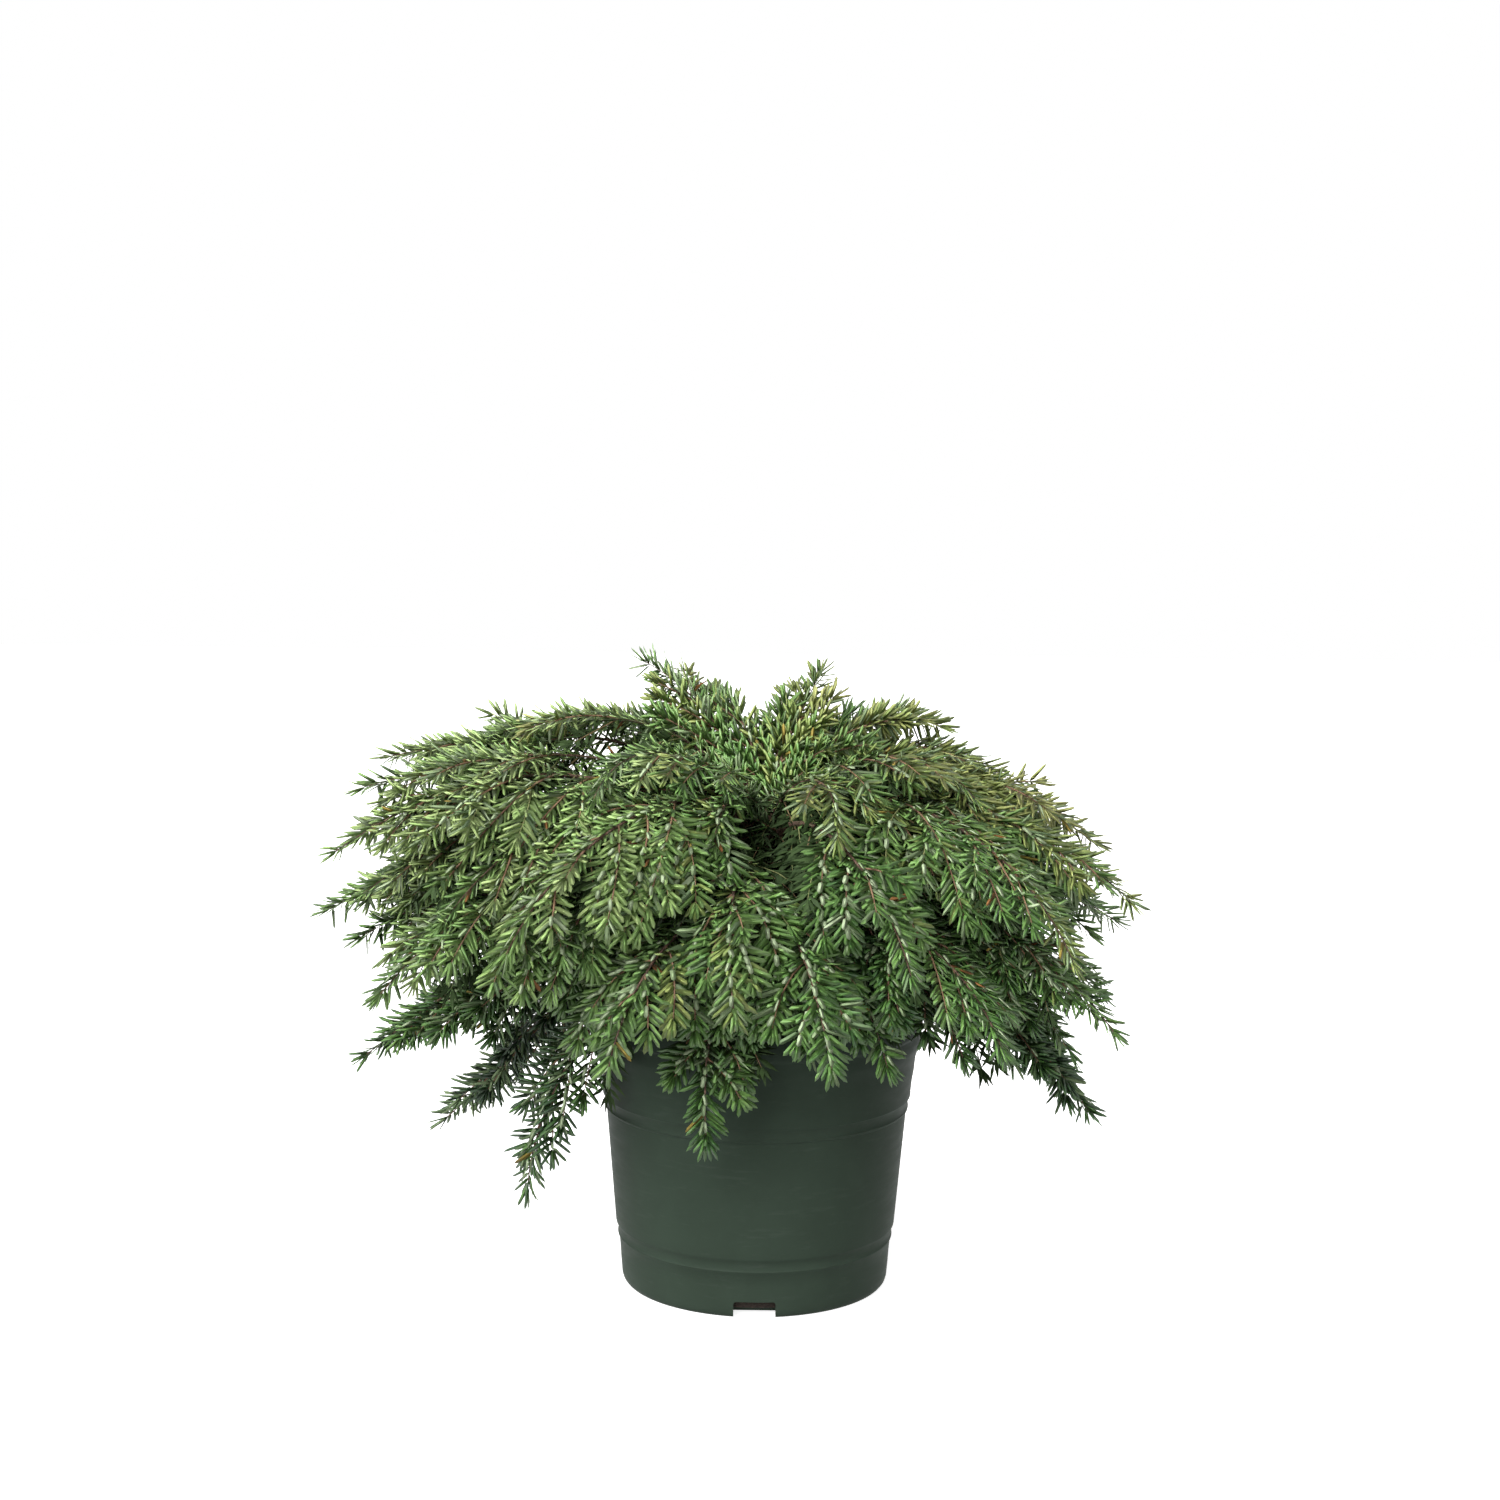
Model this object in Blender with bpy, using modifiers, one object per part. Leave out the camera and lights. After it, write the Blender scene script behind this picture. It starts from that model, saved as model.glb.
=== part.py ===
"""Dwarf weeping eastern hemlock in a round nursery pot.

Metres, +Z up, origin at the centre of the pot's flat underside. The front of
the plant is towards -Y. The pot and the soil in it are turned shapes. The short
trunk carries arching boughs in three tiers. Each bough ends where it enters a
flat, uneven plume of foliage that arches on and hangs at its tip, and four
more plumes sit round the top of the trunk.
"""

import math

import bmesh
import bpy
import numpy as np

# ------------------------------------------------------------ driving sizes
POT_H = 0.160
POT_TOP_R = 0.0936
RIM_BAND_H = 0.013
POT_FOOT_R = 0.0756
WALL = 0.0020
BASE_THICK = 0.0030
POT_STEPS = 36

SLOT_W = 0.0230
SLOT_H = 0.0095
SLOT_AZIMUTHS = (-90.0, 30.0, 150.0)

SOIL_TOP = 0.1440
FIT_GAP = 0.0004

TRUNK_TOP = 0.262
TRUNK_R = 0.0080
TRUNK_TIP_R = 0.0040
FLARE_R = 0.0125
TRUNK_LEAN = (0.006, 0.004)

BOUGH_R = 0.0024
BOUGH_END_R = 0.0013
MASS_SIDES = 8
MASS_STATIONS = 11
HALF_THICK = 0.0135
EDGE_DROOP = 0.007
CLEAR = 0.0011

# One row for each plume: name, azimuth (deg, from +X towards +Y), height where
# it leaves the trunk, reach and height of its tip (mm), angle at which it
# rises, angle at its tip (deg, minus is down), sweep to one side along its
# length (deg), half its width (mm), distance at which its foliage starts (mm).
PLUMES = (
    ("leader", 46, 264, 52, 343, 80, 45, 6, 19, 0),
    ("crown_left", 148, 256, 76, 348, 61, 26, 4, 30, 13),
    ("crown_right", 14, 257, 102, 316, 62, -18, -8, 30, 13),
    ("crown_front", 252, 256, 92, 256, 62, -80, 4, 28, 14),
    ("crown_back", 115, 258, 62, 330, 66, 6, 5, 24, 13),
    ("upper_1", 172, 243, 209, 295, 60, -12, 6, 44, 40),
    ("upper_2", 197, 231, 239, 256, 47, -32, 4, 48, 42),
    ("upper_3", 229, 240, 184, 212, 62, -66, -6, 46, 40),
    ("upper_4", 262, 218, 152, 186, 52, -80, 5, 42, 40),
    ("upper_5", 296, 236, 156, 204, 62, -74, 6, 44, 40),
    ("upper_6", 330, 240, 196, 207, 59, -58, -5, 46, 42),
    ("upper_7", 2, 242, 187, 253, 54, -38, -4, 42, 42),
    ("upper_8", 60, 236, 186, 262, 52, -38, 7, 50, 42),
    ("upper_9", 115, 240, 186, 258, 52, -40, 7, 50, 42),
    ("middle_1", 183, 206, 239, 214, 38, -28, 4, 44, 44),
    ("middle_2", 212, 198, 236, 191, 37, -42, 4, 46, 44),
    ("middle_3", 246, 190, 166, 158, 42, -80, -5, 42, 44),
    ("middle_4", 280, 197, 162, 160, 42, -80, 5, 42, 44),
    ("middle_5", 314, 190, 174, 160, 40, -70, 5, 44, 44),
    ("middle_6", 345, 200, 203, 160, 36, -50, -6, 44, 44),
    ("middle_7", 20, 210, 218, 197, 39, -34, -5, 46, 44),
    ("middle_8", 76, 204, 215, 192, 38, -44, 6, 56, 44),
    ("middle_9", 134, 200, 220, 186, 38, -44, 6, 54, 44),
    ("lower_1", 161, 178, 189, 76, 14, -44, 5, 38, 46),
    ("lower_2", 187, 176, 219, 135, 30, -38, 4, 38, 46),
    ("lower_3", 211, 180, 141, 70, 60, -90, -4, 22, 50),
    ("lower_4", 256, 173, 133, 115, 34, -84, 4, 21, 50),
    ("lower_5", 320, 172, 147, 153, 32, -60, -4, 34, 46),
    ("lower_6", 356, 176, 187, 104, 30, -54, -4, 40, 46),
    ("lower_7", 43, 178, 190, 112, 32, -58, 5, 50, 46),
    ("lower_8", 104, 174, 192, 106, 32, -58, 5, 52, 46),
)

FOLIAGE_COLOURS = {
    "leader": (0.20, 0.29, 0.11),
    "crown": (0.20, 0.29, 0.11),
    "upper": (0.15, 0.26, 0.09),
    "middle": (0.11, 0.21, 0.08),
    "lower": (0.07, 0.15, 0.06),
}

# ------------------------------------------------------------------ clearing
for old in list(bpy.data.objects):
    bpy.data.objects.remove(old, do_unlink=True)

plant = bpy.data.collections.new("potted_weeping_hemlock")
cutters = bpy.data.collections.new("cutters")
bpy.context.scene.collection.children.link(plant)
bpy.context.scene.collection.children.link(cutters)


def material(name, colour, roughness, metallic=0.0):
    """A plain Principled material."""
    made = bpy.data.materials.new(name)
    made.use_nodes = True
    bsdf = made.node_tree.nodes["Principled BSDF"]
    bsdf.inputs["Base Color"].default_value = (*colour, 1.0)
    bsdf.inputs["Roughness"].default_value = roughness
    bsdf.inputs["Metallic"].default_value = metallic
    made.diffuse_color = (*colour, 1.0)
    return made


def object_of(name, mesh, colour, roughness, smooth=True):
    """A node of the plant with its own material."""
    made = bpy.data.objects.new(name, mesh)
    mesh.materials.append(material(name, colour, roughness))
    plant.objects.link(made)
    if smooth:
        mesh.shade_smooth()
    return made


def turned(name, profile, colour, roughness, steps):
    """A closed shape turned about Z from an (r, z) profile that starts and ends on the axis."""
    mesh = bpy.data.meshes.new(name)
    mesh.from_pydata(
        [(r, 0.0, z) for r, z in profile],
        [(i, i + 1) for i in range(len(profile) - 1)],
        [],
    )
    made = object_of(name, mesh, colour, roughness, smooth=False)
    screw = made.modifiers.new("Screw", "SCREW")
    screw.axis = "Z"
    screw.angle = 2 * math.pi
    screw.steps = steps
    screw.render_steps = steps
    screw.use_merge_vertices = True
    screw.merge_threshold = 0.0001
    screw.use_smooth_shade = True
    return made


# ------------------------------------------------------------------ the pot
def taper(z):
    """Outer radius of the pot's plain wall at a height."""
    top = POT_TOP_R - 0.0062
    return POT_FOOT_R + (top - POT_FOOT_R) * z / (POT_H - 0.046)


def pot_profile():
    """Inside from the middle of the floor up to the rim, then down outside to the foot."""
    band = POT_H - RIM_BAND_H
    outer = [
        (POT_TOP_R, POT_H),
        (POT_TOP_R, band),
        (POT_TOP_R - 0.0016, band - 0.008),
        (POT_TOP_R - 0.0038, band - 0.016),
        (taper(0.1105), 0.1105),
        (taper(0.1075) - 0.0007, 0.1075),
        (taper(0.1010) - 0.0012, 0.1010),
        (taper(0.0330), 0.0330),
        (taper(0.0260) - 0.0006, 0.0260),
        (POT_FOOT_R, 0.0040),
        (POT_FOOT_R - 0.0026, 0.0),
    ]
    inner = [
        (POT_FOOT_R - WALL - 0.0020, BASE_THICK),
        (taper(0.0300) - 0.0006 - WALL, 0.0300),
        (taper(0.1050) - 0.0012 - WALL, 0.1050),
        (POT_TOP_R - 0.0038 - WALL, band - 0.016),
        (POT_TOP_R - WALL, band),
        (POT_TOP_R - WALL, POT_H),
    ]
    return [(0.0, BASE_THICK)] + inner + outer + [(0.0, 0.0)], inner


profile, inside = pot_profile()
pot = turned("pot", profile, (0.045, 0.075, 0.050), 0.55, POT_STEPS)
for azimuth in SLOT_AZIMUTHS:
    around = math.radians(azimuth)
    bpy.ops.mesh.primitive_cube_add(size=1.0)
    cutter = bpy.context.object
    cutter.name = f"drain_cutter_{int(azimuth) % 360}"
    reach = 0.5 * (0.066 + 0.084)
    for corner in cutter.data.vertices:
        corner.co.x *= 0.018
        corner.co.y *= SLOT_W
        corner.co.z *= SLOT_H + 0.002
    cutter.location = (
        reach * math.cos(around),
        reach * math.sin(around),
        (SLOT_H - 0.002) / 2,
    )
    cutter.rotation_euler = (0.0, 0.0, around)
    for home in list(cutter.users_collection):
        home.objects.unlink(cutter)
    cutters.objects.link(cutter)
    cutter.hide_render = True
    cutter.display_type = "WIRE"
    cut = pot.modifiers.new(cutter.name, "BOOLEAN")
    cut.operation = "DIFFERENCE"
    cut.solver = "EXACT"
    cut.object = cutter


# ----------------------------------------------------------------- the soil
def soil_profile():
    """Flat round the trunk, a little uneven towards the wall, and the pot's inside below."""
    wall = [(r - FIT_GAP, z) for r, z in inside[:4]][::-1]
    wall[-1] = (wall[-1][0], wall[-1][1] + FIT_GAP)
    edge = wall[0][0] + 0.0018
    return (
        [(0.0, SOIL_TOP), (0.017, SOIL_TOP), (0.052, SOIL_TOP + 0.0012)]
        + [(edge, SOIL_TOP - 0.0030)]
        + wall
        + [(0.0, BASE_THICK + FIT_GAP)]
    )


turned("soil", soil_profile(), (0.035, 0.024, 0.017), 0.95, POT_STEPS)


# ------------------------------------------------------------------ the trunk
def trunk_axis(z):
    """Middle of the leaning trunk at a height."""
    up = np.clip((z - SOIL_TOP) / (TRUNK_TOP - SOIL_TOP), 0.0, 1.0)
    bow = 0.0025 * math.sin(math.pi * up)
    return np.array([TRUNK_LEAN[0] * up - bow, TRUNK_LEAN[1] * up + bow, z])


def trunk_radius(z):
    """Taper with the root flare at the foot."""
    up = np.clip((z - SOIL_TOP) / (TRUNK_TOP - SOIL_TOP), 0.0, 1.0)
    flare = (FLARE_R - TRUNK_R) * math.exp(-(z - SOIL_TOP) / 0.0065)
    return TRUNK_R + (TRUNK_TIP_R - TRUNK_R) * up + max(flare, 0.0)


def loft(name, rings, colour, roughness):
    """A closed solid through rings of points, with a cap on each end."""
    shape = bmesh.new()
    made = [[shape.verts.new(tuple(p)) for p in ring] for ring in rings]
    for a, b in zip(made[:-1], made[1:]):
        for i in range(len(a)):
            j = (i + 1) % len(a)
            shape.faces.new((a[i], a[j], b[j], b[i]))
    shape.faces.new(made[0][::-1])
    shape.faces.new(made[-1])
    bmesh.ops.recalc_face_normals(shape, faces=shape.faces)
    mesh = bpy.data.meshes.new(name)
    shape.to_mesh(mesh)
    shape.free()
    return object_of(name, mesh, colour, roughness)


def trunk_rings():
    rings = []
    foot = SOIL_TOP + 0.0003
    for up in (0.0, 0.02, 0.06, 0.12, 0.22, 0.38, 0.55, 0.72, 0.88, 1.0):
        z = foot + (TRUNK_TOP - foot) * up
        centre, radius = trunk_axis(z), trunk_radius(z)
        ring = []
        for i in range(10):
            turn = 2 * math.pi * i / 10
            lobes = 1 + 0.16 * math.exp(-up / 0.05) * math.cos(4 * turn + 0.7)
            bark = 1 + 0.03 * math.sin(3 * turn + 9 * up)
            r = radius * lobes * bark
            ring.append(centre + np.array([r * math.cos(turn), r * math.sin(turn), 0]))
        rings.append(ring)
    return rings


loft("trunk", trunk_rings(), (0.16, 0.10, 0.065), 0.9)


# --------------------------------------------------------- arches and plumes
def arch(row, count):
    """Points of a plume's arch from the trunk's middle to its tip, evenly spaced."""
    _, azimuth, start, reach, tip, rise, fall, sweep, _, _ = row
    foot = np.array([0.0, start / 1000])
    end = np.array([reach / 1000, tip / 1000])
    handle = 0.42 * np.linalg.norm(end - foot)
    rise, fall = math.radians(rise), math.radians(fall)
    a = foot + handle * np.array([math.cos(rise), math.sin(rise)])
    b = end - handle * np.array([math.cos(fall), math.sin(fall)])
    t = np.linspace(0, 1, 400)[:, None]
    flat = (
        foot * (1 - t) ** 3
        + 3 * a * t * (1 - t) ** 2
        + 3 * b * t**2 * (1 - t)
        + end * t**3
    )
    turn = math.radians(azimuth) + math.radians(sweep) * (t[:, 0] ** 2 - 0.35)
    base = trunk_axis(start / 1000)
    points = np.stack(
        [
            base[0] * (1 - t[:, 0]) + flat[:, 0] * np.cos(turn),
            base[1] * (1 - t[:, 0]) + flat[:, 0] * np.sin(turn),
            flat[:, 1],
        ],
        axis=1,
    )
    return resampled(points, count)


def resampled(points, count):
    steps = np.linalg.norm(np.diff(points, axis=0), axis=1)
    along = np.concatenate([[0], np.cumsum(steps)])
    wanted = np.linspace(0, along[-1], count)
    return np.stack([np.interp(wanted, along, points[:, k]) for k in range(3)], axis=1)


def frames(points):
    """Forward, sideways and upward unit vectors at each point of a line."""
    ahead = np.gradient(points, axis=0)
    ahead /= np.linalg.norm(ahead, axis=1)[:, None]
    spread = points[-1] - points[0]
    plan = np.array([spread[0], spread[1], 0.0])
    plan /= max(np.linalg.norm(plan), 1e-9)
    side = np.cross(ahead, np.array([0.0, 0.0, 1.0]))
    flat = np.array([plan[1], -plan[0], 0.0])
    side = side + 0.25 * flat
    side -= (side * ahead).sum(axis=1)[:, None] * ahead
    side /= np.linalg.norm(side, axis=1)[:, None]
    return ahead, side, np.cross(side, ahead)


class Plume:
    """The line of a mass of foliage with its four half-sizes at each station: left, right, up, down."""

    def __init__(self, index, row):
        self.row = row
        self.name = row[0]
        line = arch(row, 241)
        away = np.linalg.norm(line[:, :2] - line[0, :2], axis=1)
        entry = int(np.argmax(away >= row[9] / 1000)) if row[9] else 0
        self.stem = line[: entry + 1]
        self.line = resampled(line[entry:], MASS_STATIONS)
        self.ahead, self.side, self.up = frames(self.line)
        s = np.linspace(0, 1, MASS_STATIONS)
        chance = np.random.default_rng(71 + index)
        swell = np.clip(np.sin(math.pi * np.clip(s, 0, 1) ** 0.72), 0, 1) ** 0.62
        swell[0] = 0.0
        width = row[8] / 1000
        lobes = [
            1 + 0.20 * np.cos(2 * math.pi * 3.2 * s + chance.uniform(0, 6.28))
            for _ in range(2)
        ]
        self.size = np.stack(
            [
                0.006 + (width * lobes[0] - 0.006) * swell,
                0.006 + (width * lobes[1] - 0.006) * swell,
                0.0045 + (HALF_THICK * chance.uniform(0.85, 1.1, len(s)) - 0.0045) * swell**0.7,
                0.0045 + (HALF_THICK * chance.uniform(0.95, 1.25, len(s)) - 0.0045) * swell**0.7,
            ],
            axis=1,
        )
        self.size[-1] = (0.0035, 0.0035, 0.0025, 0.0025)
        self.size[0] = (0.0055, 0.0055, 0.0045, 0.0045)
        self.rough = 1 + chance.uniform(-0.09, 0.07, (MASS_STATIONS, 2 * MASS_SIDES))

    def section(self, sides):
        """The section's points at each station, in its own side and up directions."""
        turn = np.linspace(0, 2 * math.pi, sides, endpoint=False)
        c, s = np.cos(turn), np.sin(turn)
        left, right, up, down = (self.size[:, [k]] for k in range(4))
        rough = self.rough[:, :: (2 * MASS_SIDES) // sides]
        across = np.where(c > 0, right, left) * c * rough
        width = np.where(c > 0, right, left)
        rise = np.where(s > 0, up, down) * s * rough
        hang = EDGE_DROOP * (np.abs(across) / np.maximum(width, 0.012)) ** 2
        hang *= np.minimum(width / 0.030, 1.0)
        return across, rise - hang

    def points(self, sides):
        across, rise = self.section(sides)
        return (
            self.line[:, None, :]
            + across[..., None] * self.side[:, None, :]
            + rise[..., None] * self.up[:, None, :]
        )

    def nearest(self, at):
        """Station (as a fraction), sideways and upward distance of points from this line."""
        a, b = self.line[:-1], self.line[1:]
        leg = b - a
        t = ((at[:, None, :] - a) * leg).sum(-1) / (leg**2).sum(-1)
        t = np.clip(t, 0, 1)
        gap = at[:, None, :] - (a + t[..., None] * leg)
        far = (gap**2).sum(-1)
        k = far.argmin(axis=1)
        every = np.arange(len(at))
        t, gap = t[every, k], gap[every, k]
        side = (1 - t)[:, None] * self.side[k] + t[:, None] * self.side[k + 1]
        up = (1 - t)[:, None] * self.up[k] + t[:, None] * self.up[k + 1]
        past = np.abs((gap * self.ahead[k]).sum(-1))
        return k, t, (gap * side).sum(-1), (gap * up).sum(-1), past

    def holds(self, at, margin):
        """For each point: inside this mass (grown by the margin) or not, its station, and the size to cut there."""
        k, t, b, c, past = self.nearest(at)
        size = (1 - t)[:, None] * self.size[k] + t[:, None] * self.size[k + 1]
        width = np.where(b > 0, size[:, 1], size[:, 0])
        hang = EDGE_DROOP * np.minimum(np.abs(b) / np.maximum(width, 0.012), 1) ** 2
        c = c + hang * np.minimum(width / 0.030, 1.0)
        thick = np.where(c > 0, size[:, 2], size[:, 3])
        x = b / (width * 1.06 + margin)
        y = c / (thick * 1.06 + margin)
        inside = (x**2 + y**2 < 1) & (past < margin + 0.002)
        wide = np.abs(x) > np.abs(y)
        which = np.where(wide, np.where(b > 0, 1, 0), np.where(c > 0, 2, 3))
        return inside, np.where(t > 0.5, k + 1, k), which

    def give_way(self, stations, which, by=0.93):
        floor = (0.005, 0.005, 0.004, 0.004)
        for station, part in set(zip(stations.tolist(), which.tolist())):
            for near, share in ((-1, 0.5), (0, 1.0), (1, 0.5)):
                at = station + near
                if 0 < at < MASS_STATIONS - 1:
                    cut = 1 - (1 - by) * share
                    self.size[at, part] = max(self.size[at, part] * cut, floor[part])


def pot_wall(z):
    """Outer radius of the pot at heights, for what hangs beside it."""
    return np.interp(z, [0.0, 0.131, 0.139, 0.147], [0.0760, 0.0905, 0.0930, POT_TOP_R])


def settle(plumes, stems, rounds=70):
    """Neighbouring masses give way to each other, to the limbs and to the pot."""
    sides = 2 * MASS_SIDES
    turn = np.linspace(0, 2 * math.pi, sides, endpoint=False)
    across = np.abs(np.cos(turn)) > np.abs(np.sin(turn)) * 0.9
    part = np.where(
        across, np.where(np.cos(turn) > 0, 1, 0), np.where(np.sin(turn) > 0, 2, 3)
    )
    for _ in range(rounds):
        found = 0
        clouds = []
        for plume in plumes:
            at = plume.points(sides)
            half = 0.5 * (at[:-1] + at[1:])
            station = np.repeat(np.arange(MASS_STATIONS), sides)
            clouds.append(
                (
                    np.concatenate([at.reshape(-1, 3), half.reshape(-1, 3)]),
                    np.concatenate([station, station[:-sides]]),
                    np.tile(part, 2 * MASS_STATIONS - 1),
                )
            )
        for i, plume in enumerate(plumes):
            low, high = clouds[i][0].min(axis=0) - 0.004, clouds[i][0].max(axis=0) + 0.004
            for j, (cloud, stations, parts) in enumerate(clouds):
                close = ((cloud > low) & (cloud < high)).all(axis=1)
                if i == j or not close.any():
                    continue
                at, station, which = cloud[close], stations[close], parts[close]
                inside, mine, cut = plume.holds(at, CLEAR)
                if inside.any():
                    found += int(inside.sum())
                    plume.give_way(mine[inside], cut[inside])
                    plumes[j].give_way(station[inside], which[inside])
            for owner, at, radius in stems:
                if owner == plume.name:
                    continue
                inside, mine, cut = plume.holds(at, radius + CLEAR)
                if inside.any():
                    found += int(inside.sum())
                    plume.give_way(mine[inside], cut[inside], 0.90)
            at, station, which = clouds[i]
            r = np.hypot(at[:, 0], at[:, 1])
            low = (at[:, 2] < POT_H + 0.0035) & (r < pot_wall(at[:, 2]) + 0.0035)
            if low.any():
                found += int(low.sum())
                plume.give_way(station[low], which[low], 0.90)
        if not found:
            break


plumes = [Plume(i, row) for i, row in enumerate(PLUMES)]
stems = [
    (
        "trunk",
        np.array([trunk_axis(z) for z in np.linspace(0.16, TRUNK_TOP, 24)]),
        TRUNK_R,
    )
]
for plume in plumes:
    if plume.row[9] > 20:
        stems.append((plume.name, resampled(plume.stem, 14), BOUGH_R))
settle(plumes, stems)

for plume in plumes:
    tier = plume.name.split("_")[0]
    shade = 0.92 + 0.16 * ((7 * len(plume.name) + plume.row[1]) % 10) / 10
    colour = tuple(c * shade for c in FOLIAGE_COLOURS[tier])
    loft("foliage_" + plume.name, plume.points(MASS_SIDES), colour, 0.75)


# ------------------------------------------------------------------ the boughs
def bough(plume):
    """One tapering limb from just off the trunk to just short of its mass of foliage."""
    line = resampled(plume.stem, 120)
    rise = math.radians(plume.row[5])
    clear = trunk_radius(line[0, 2]) + BOUGH_R * math.sin(rise) + 0.0007
    away = np.array(
        [np.linalg.norm(p[:2] - trunk_axis(p[2])[:2]) for p in line]
    )
    line = line[int(np.argmax(away > clear)) :]
    length = np.linalg.norm(np.diff(line, axis=0), axis=1).sum()
    line = resampled(line, 200)[: int(200 * (1 - 0.0005 / length))]
    line = resampled(line, 6)
    curve = bpy.data.curves.new("bough_" + plume.name, "CURVE")
    curve.dimensions = "3D"
    curve.bevel_depth = 1.0
    curve.bevel_resolution = 1
    curve.use_fill_caps = True
    spline = curve.splines.new("POLY")
    spline.points.add(len(line) - 1)
    for i, (point, at) in enumerate(zip(spline.points, line)):
        point.co = (*at, 1.0)
        point.radius = BOUGH_R + (BOUGH_END_R - BOUGH_R) * i / (len(line) - 1)
    spline.use_smooth = True
    curve.materials.append(material(curve.name, (0.19, 0.115, 0.075), 0.85))
    made = bpy.data.objects.new(curve.name, curve)
    plant.objects.link(made)


for plume in plumes:
    if plume.row[9] > 20:
        bough(plume)
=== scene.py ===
"""Looks of the dwarf weeping hemlock in its nursery pot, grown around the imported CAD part.

The limbs are the arches of the part. From each grow flat sprays of side shoots
by a seeded rule, and every shoot carries its own flat needles, green above and
pale below. Colours are plain and dealt out by spray.
"""

import math

import bmesh
import bpy
import numpy as np
from mathutils import Matrix, Vector, noise


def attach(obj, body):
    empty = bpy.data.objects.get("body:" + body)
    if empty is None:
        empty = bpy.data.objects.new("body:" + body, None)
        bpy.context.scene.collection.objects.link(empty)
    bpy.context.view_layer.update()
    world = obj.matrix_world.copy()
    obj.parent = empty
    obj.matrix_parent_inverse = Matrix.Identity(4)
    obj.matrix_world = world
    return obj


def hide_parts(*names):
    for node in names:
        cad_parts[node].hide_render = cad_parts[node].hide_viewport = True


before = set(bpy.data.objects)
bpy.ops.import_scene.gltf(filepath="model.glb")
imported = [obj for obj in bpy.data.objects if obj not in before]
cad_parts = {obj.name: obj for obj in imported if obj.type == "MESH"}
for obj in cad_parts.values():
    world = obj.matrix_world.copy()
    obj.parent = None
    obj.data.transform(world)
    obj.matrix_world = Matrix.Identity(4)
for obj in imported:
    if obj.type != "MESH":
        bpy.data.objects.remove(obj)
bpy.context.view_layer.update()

UP = np.array([0.0, 0.0, 1.0])
DOWN = -UP

# ------------------------------------------------------------ sizes from the part
POT_H = 0.160
POT_TOP_R = 0.0936
RIM_BAND_H = 0.013
POT_FOOT_R = 0.0756
WALL = 0.0020
BASE_THICK = 0.0030
SLOT_W = 0.0230
SLOT_H = 0.0095
SLOT_AZIMUTHS = (-90.0, 30.0, 150.0)
SOIL_TOP = 0.1440
TRUNK_TOP = 0.262
TRUNK_R = 0.0080
TRUNK_TIP_R = 0.0040
FLARE_R = 0.0125
TRUNK_LEAN = (0.006, 0.004)
BOUGH_R = 0.0024

# Name, azimuth, foot height, reach, tip height, rise, fall, sweep, half width, start.
PLUMES = (
    ("leader", 46, 264, 52, 343, 80, 45, 6, 19, 0),
    ("crown_left", 148, 256, 76, 348, 61, 26, 4, 30, 13),
    ("crown_right", 14, 257, 102, 316, 62, -18, -8, 30, 13),
    ("crown_front", 252, 256, 92, 256, 62, -80, 4, 28, 14),
    ("crown_back", 115, 258, 62, 330, 66, 6, 5, 24, 13),
    ("upper_1", 172, 243, 209, 295, 60, -12, 6, 44, 40),
    ("upper_2", 197, 231, 239, 256, 47, -32, 4, 48, 42),
    ("upper_3", 229, 240, 184, 212, 62, -66, -6, 46, 40),
    ("upper_4", 262, 218, 152, 186, 52, -80, 5, 42, 40),
    ("upper_5", 296, 236, 156, 204, 62, -74, 6, 44, 40),
    ("upper_6", 330, 240, 196, 207, 59, -58, -5, 46, 42),
    ("upper_7", 2, 242, 187, 253, 54, -38, -4, 42, 42),
    ("upper_8", 60, 236, 186, 262, 52, -38, 7, 50, 42),
    ("upper_9", 115, 240, 186, 258, 52, -40, 7, 50, 42),
    ("middle_1", 183, 206, 239, 214, 38, -28, 4, 44, 44),
    ("middle_2", 212, 198, 236, 191, 37, -42, 4, 46, 44),
    ("middle_3", 246, 190, 166, 158, 42, -80, -5, 42, 44),
    ("middle_4", 280, 197, 162, 160, 42, -80, 5, 42, 44),
    ("middle_5", 314, 190, 174, 160, 40, -70, 5, 44, 44),
    ("middle_6", 345, 200, 203, 160, 36, -50, -6, 44, 44),
    ("middle_7", 20, 210, 218, 197, 39, -34, -5, 46, 44),
    ("middle_8", 76, 204, 215, 192, 38, -44, 6, 56, 44),
    ("middle_9", 134, 200, 220, 186, 38, -44, 6, 54, 44),
    ("lower_1", 161, 178, 189, 76, 14, -44, 5, 38, 46),
    ("lower_2", 187, 176, 219, 135, 30, -38, 4, 38, 46),
    ("lower_3", 211, 180, 141, 70, 60, -90, -4, 22, 50),
    ("lower_4", 256, 173, 133, 115, 34, -84, 4, 21, 50),
    ("lower_5", 320, 172, 147, 153, 32, -60, -4, 34, 46),
    ("lower_6", 356, 176, 187, 104, 30, -54, -4, 40, 46),
    ("lower_7", 43, 178, 190, 112, 32, -58, 5, 50, 46),
    ("lower_8", 104, 174, 192, 106, 32, -58, 5, 52, 46),
)
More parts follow.
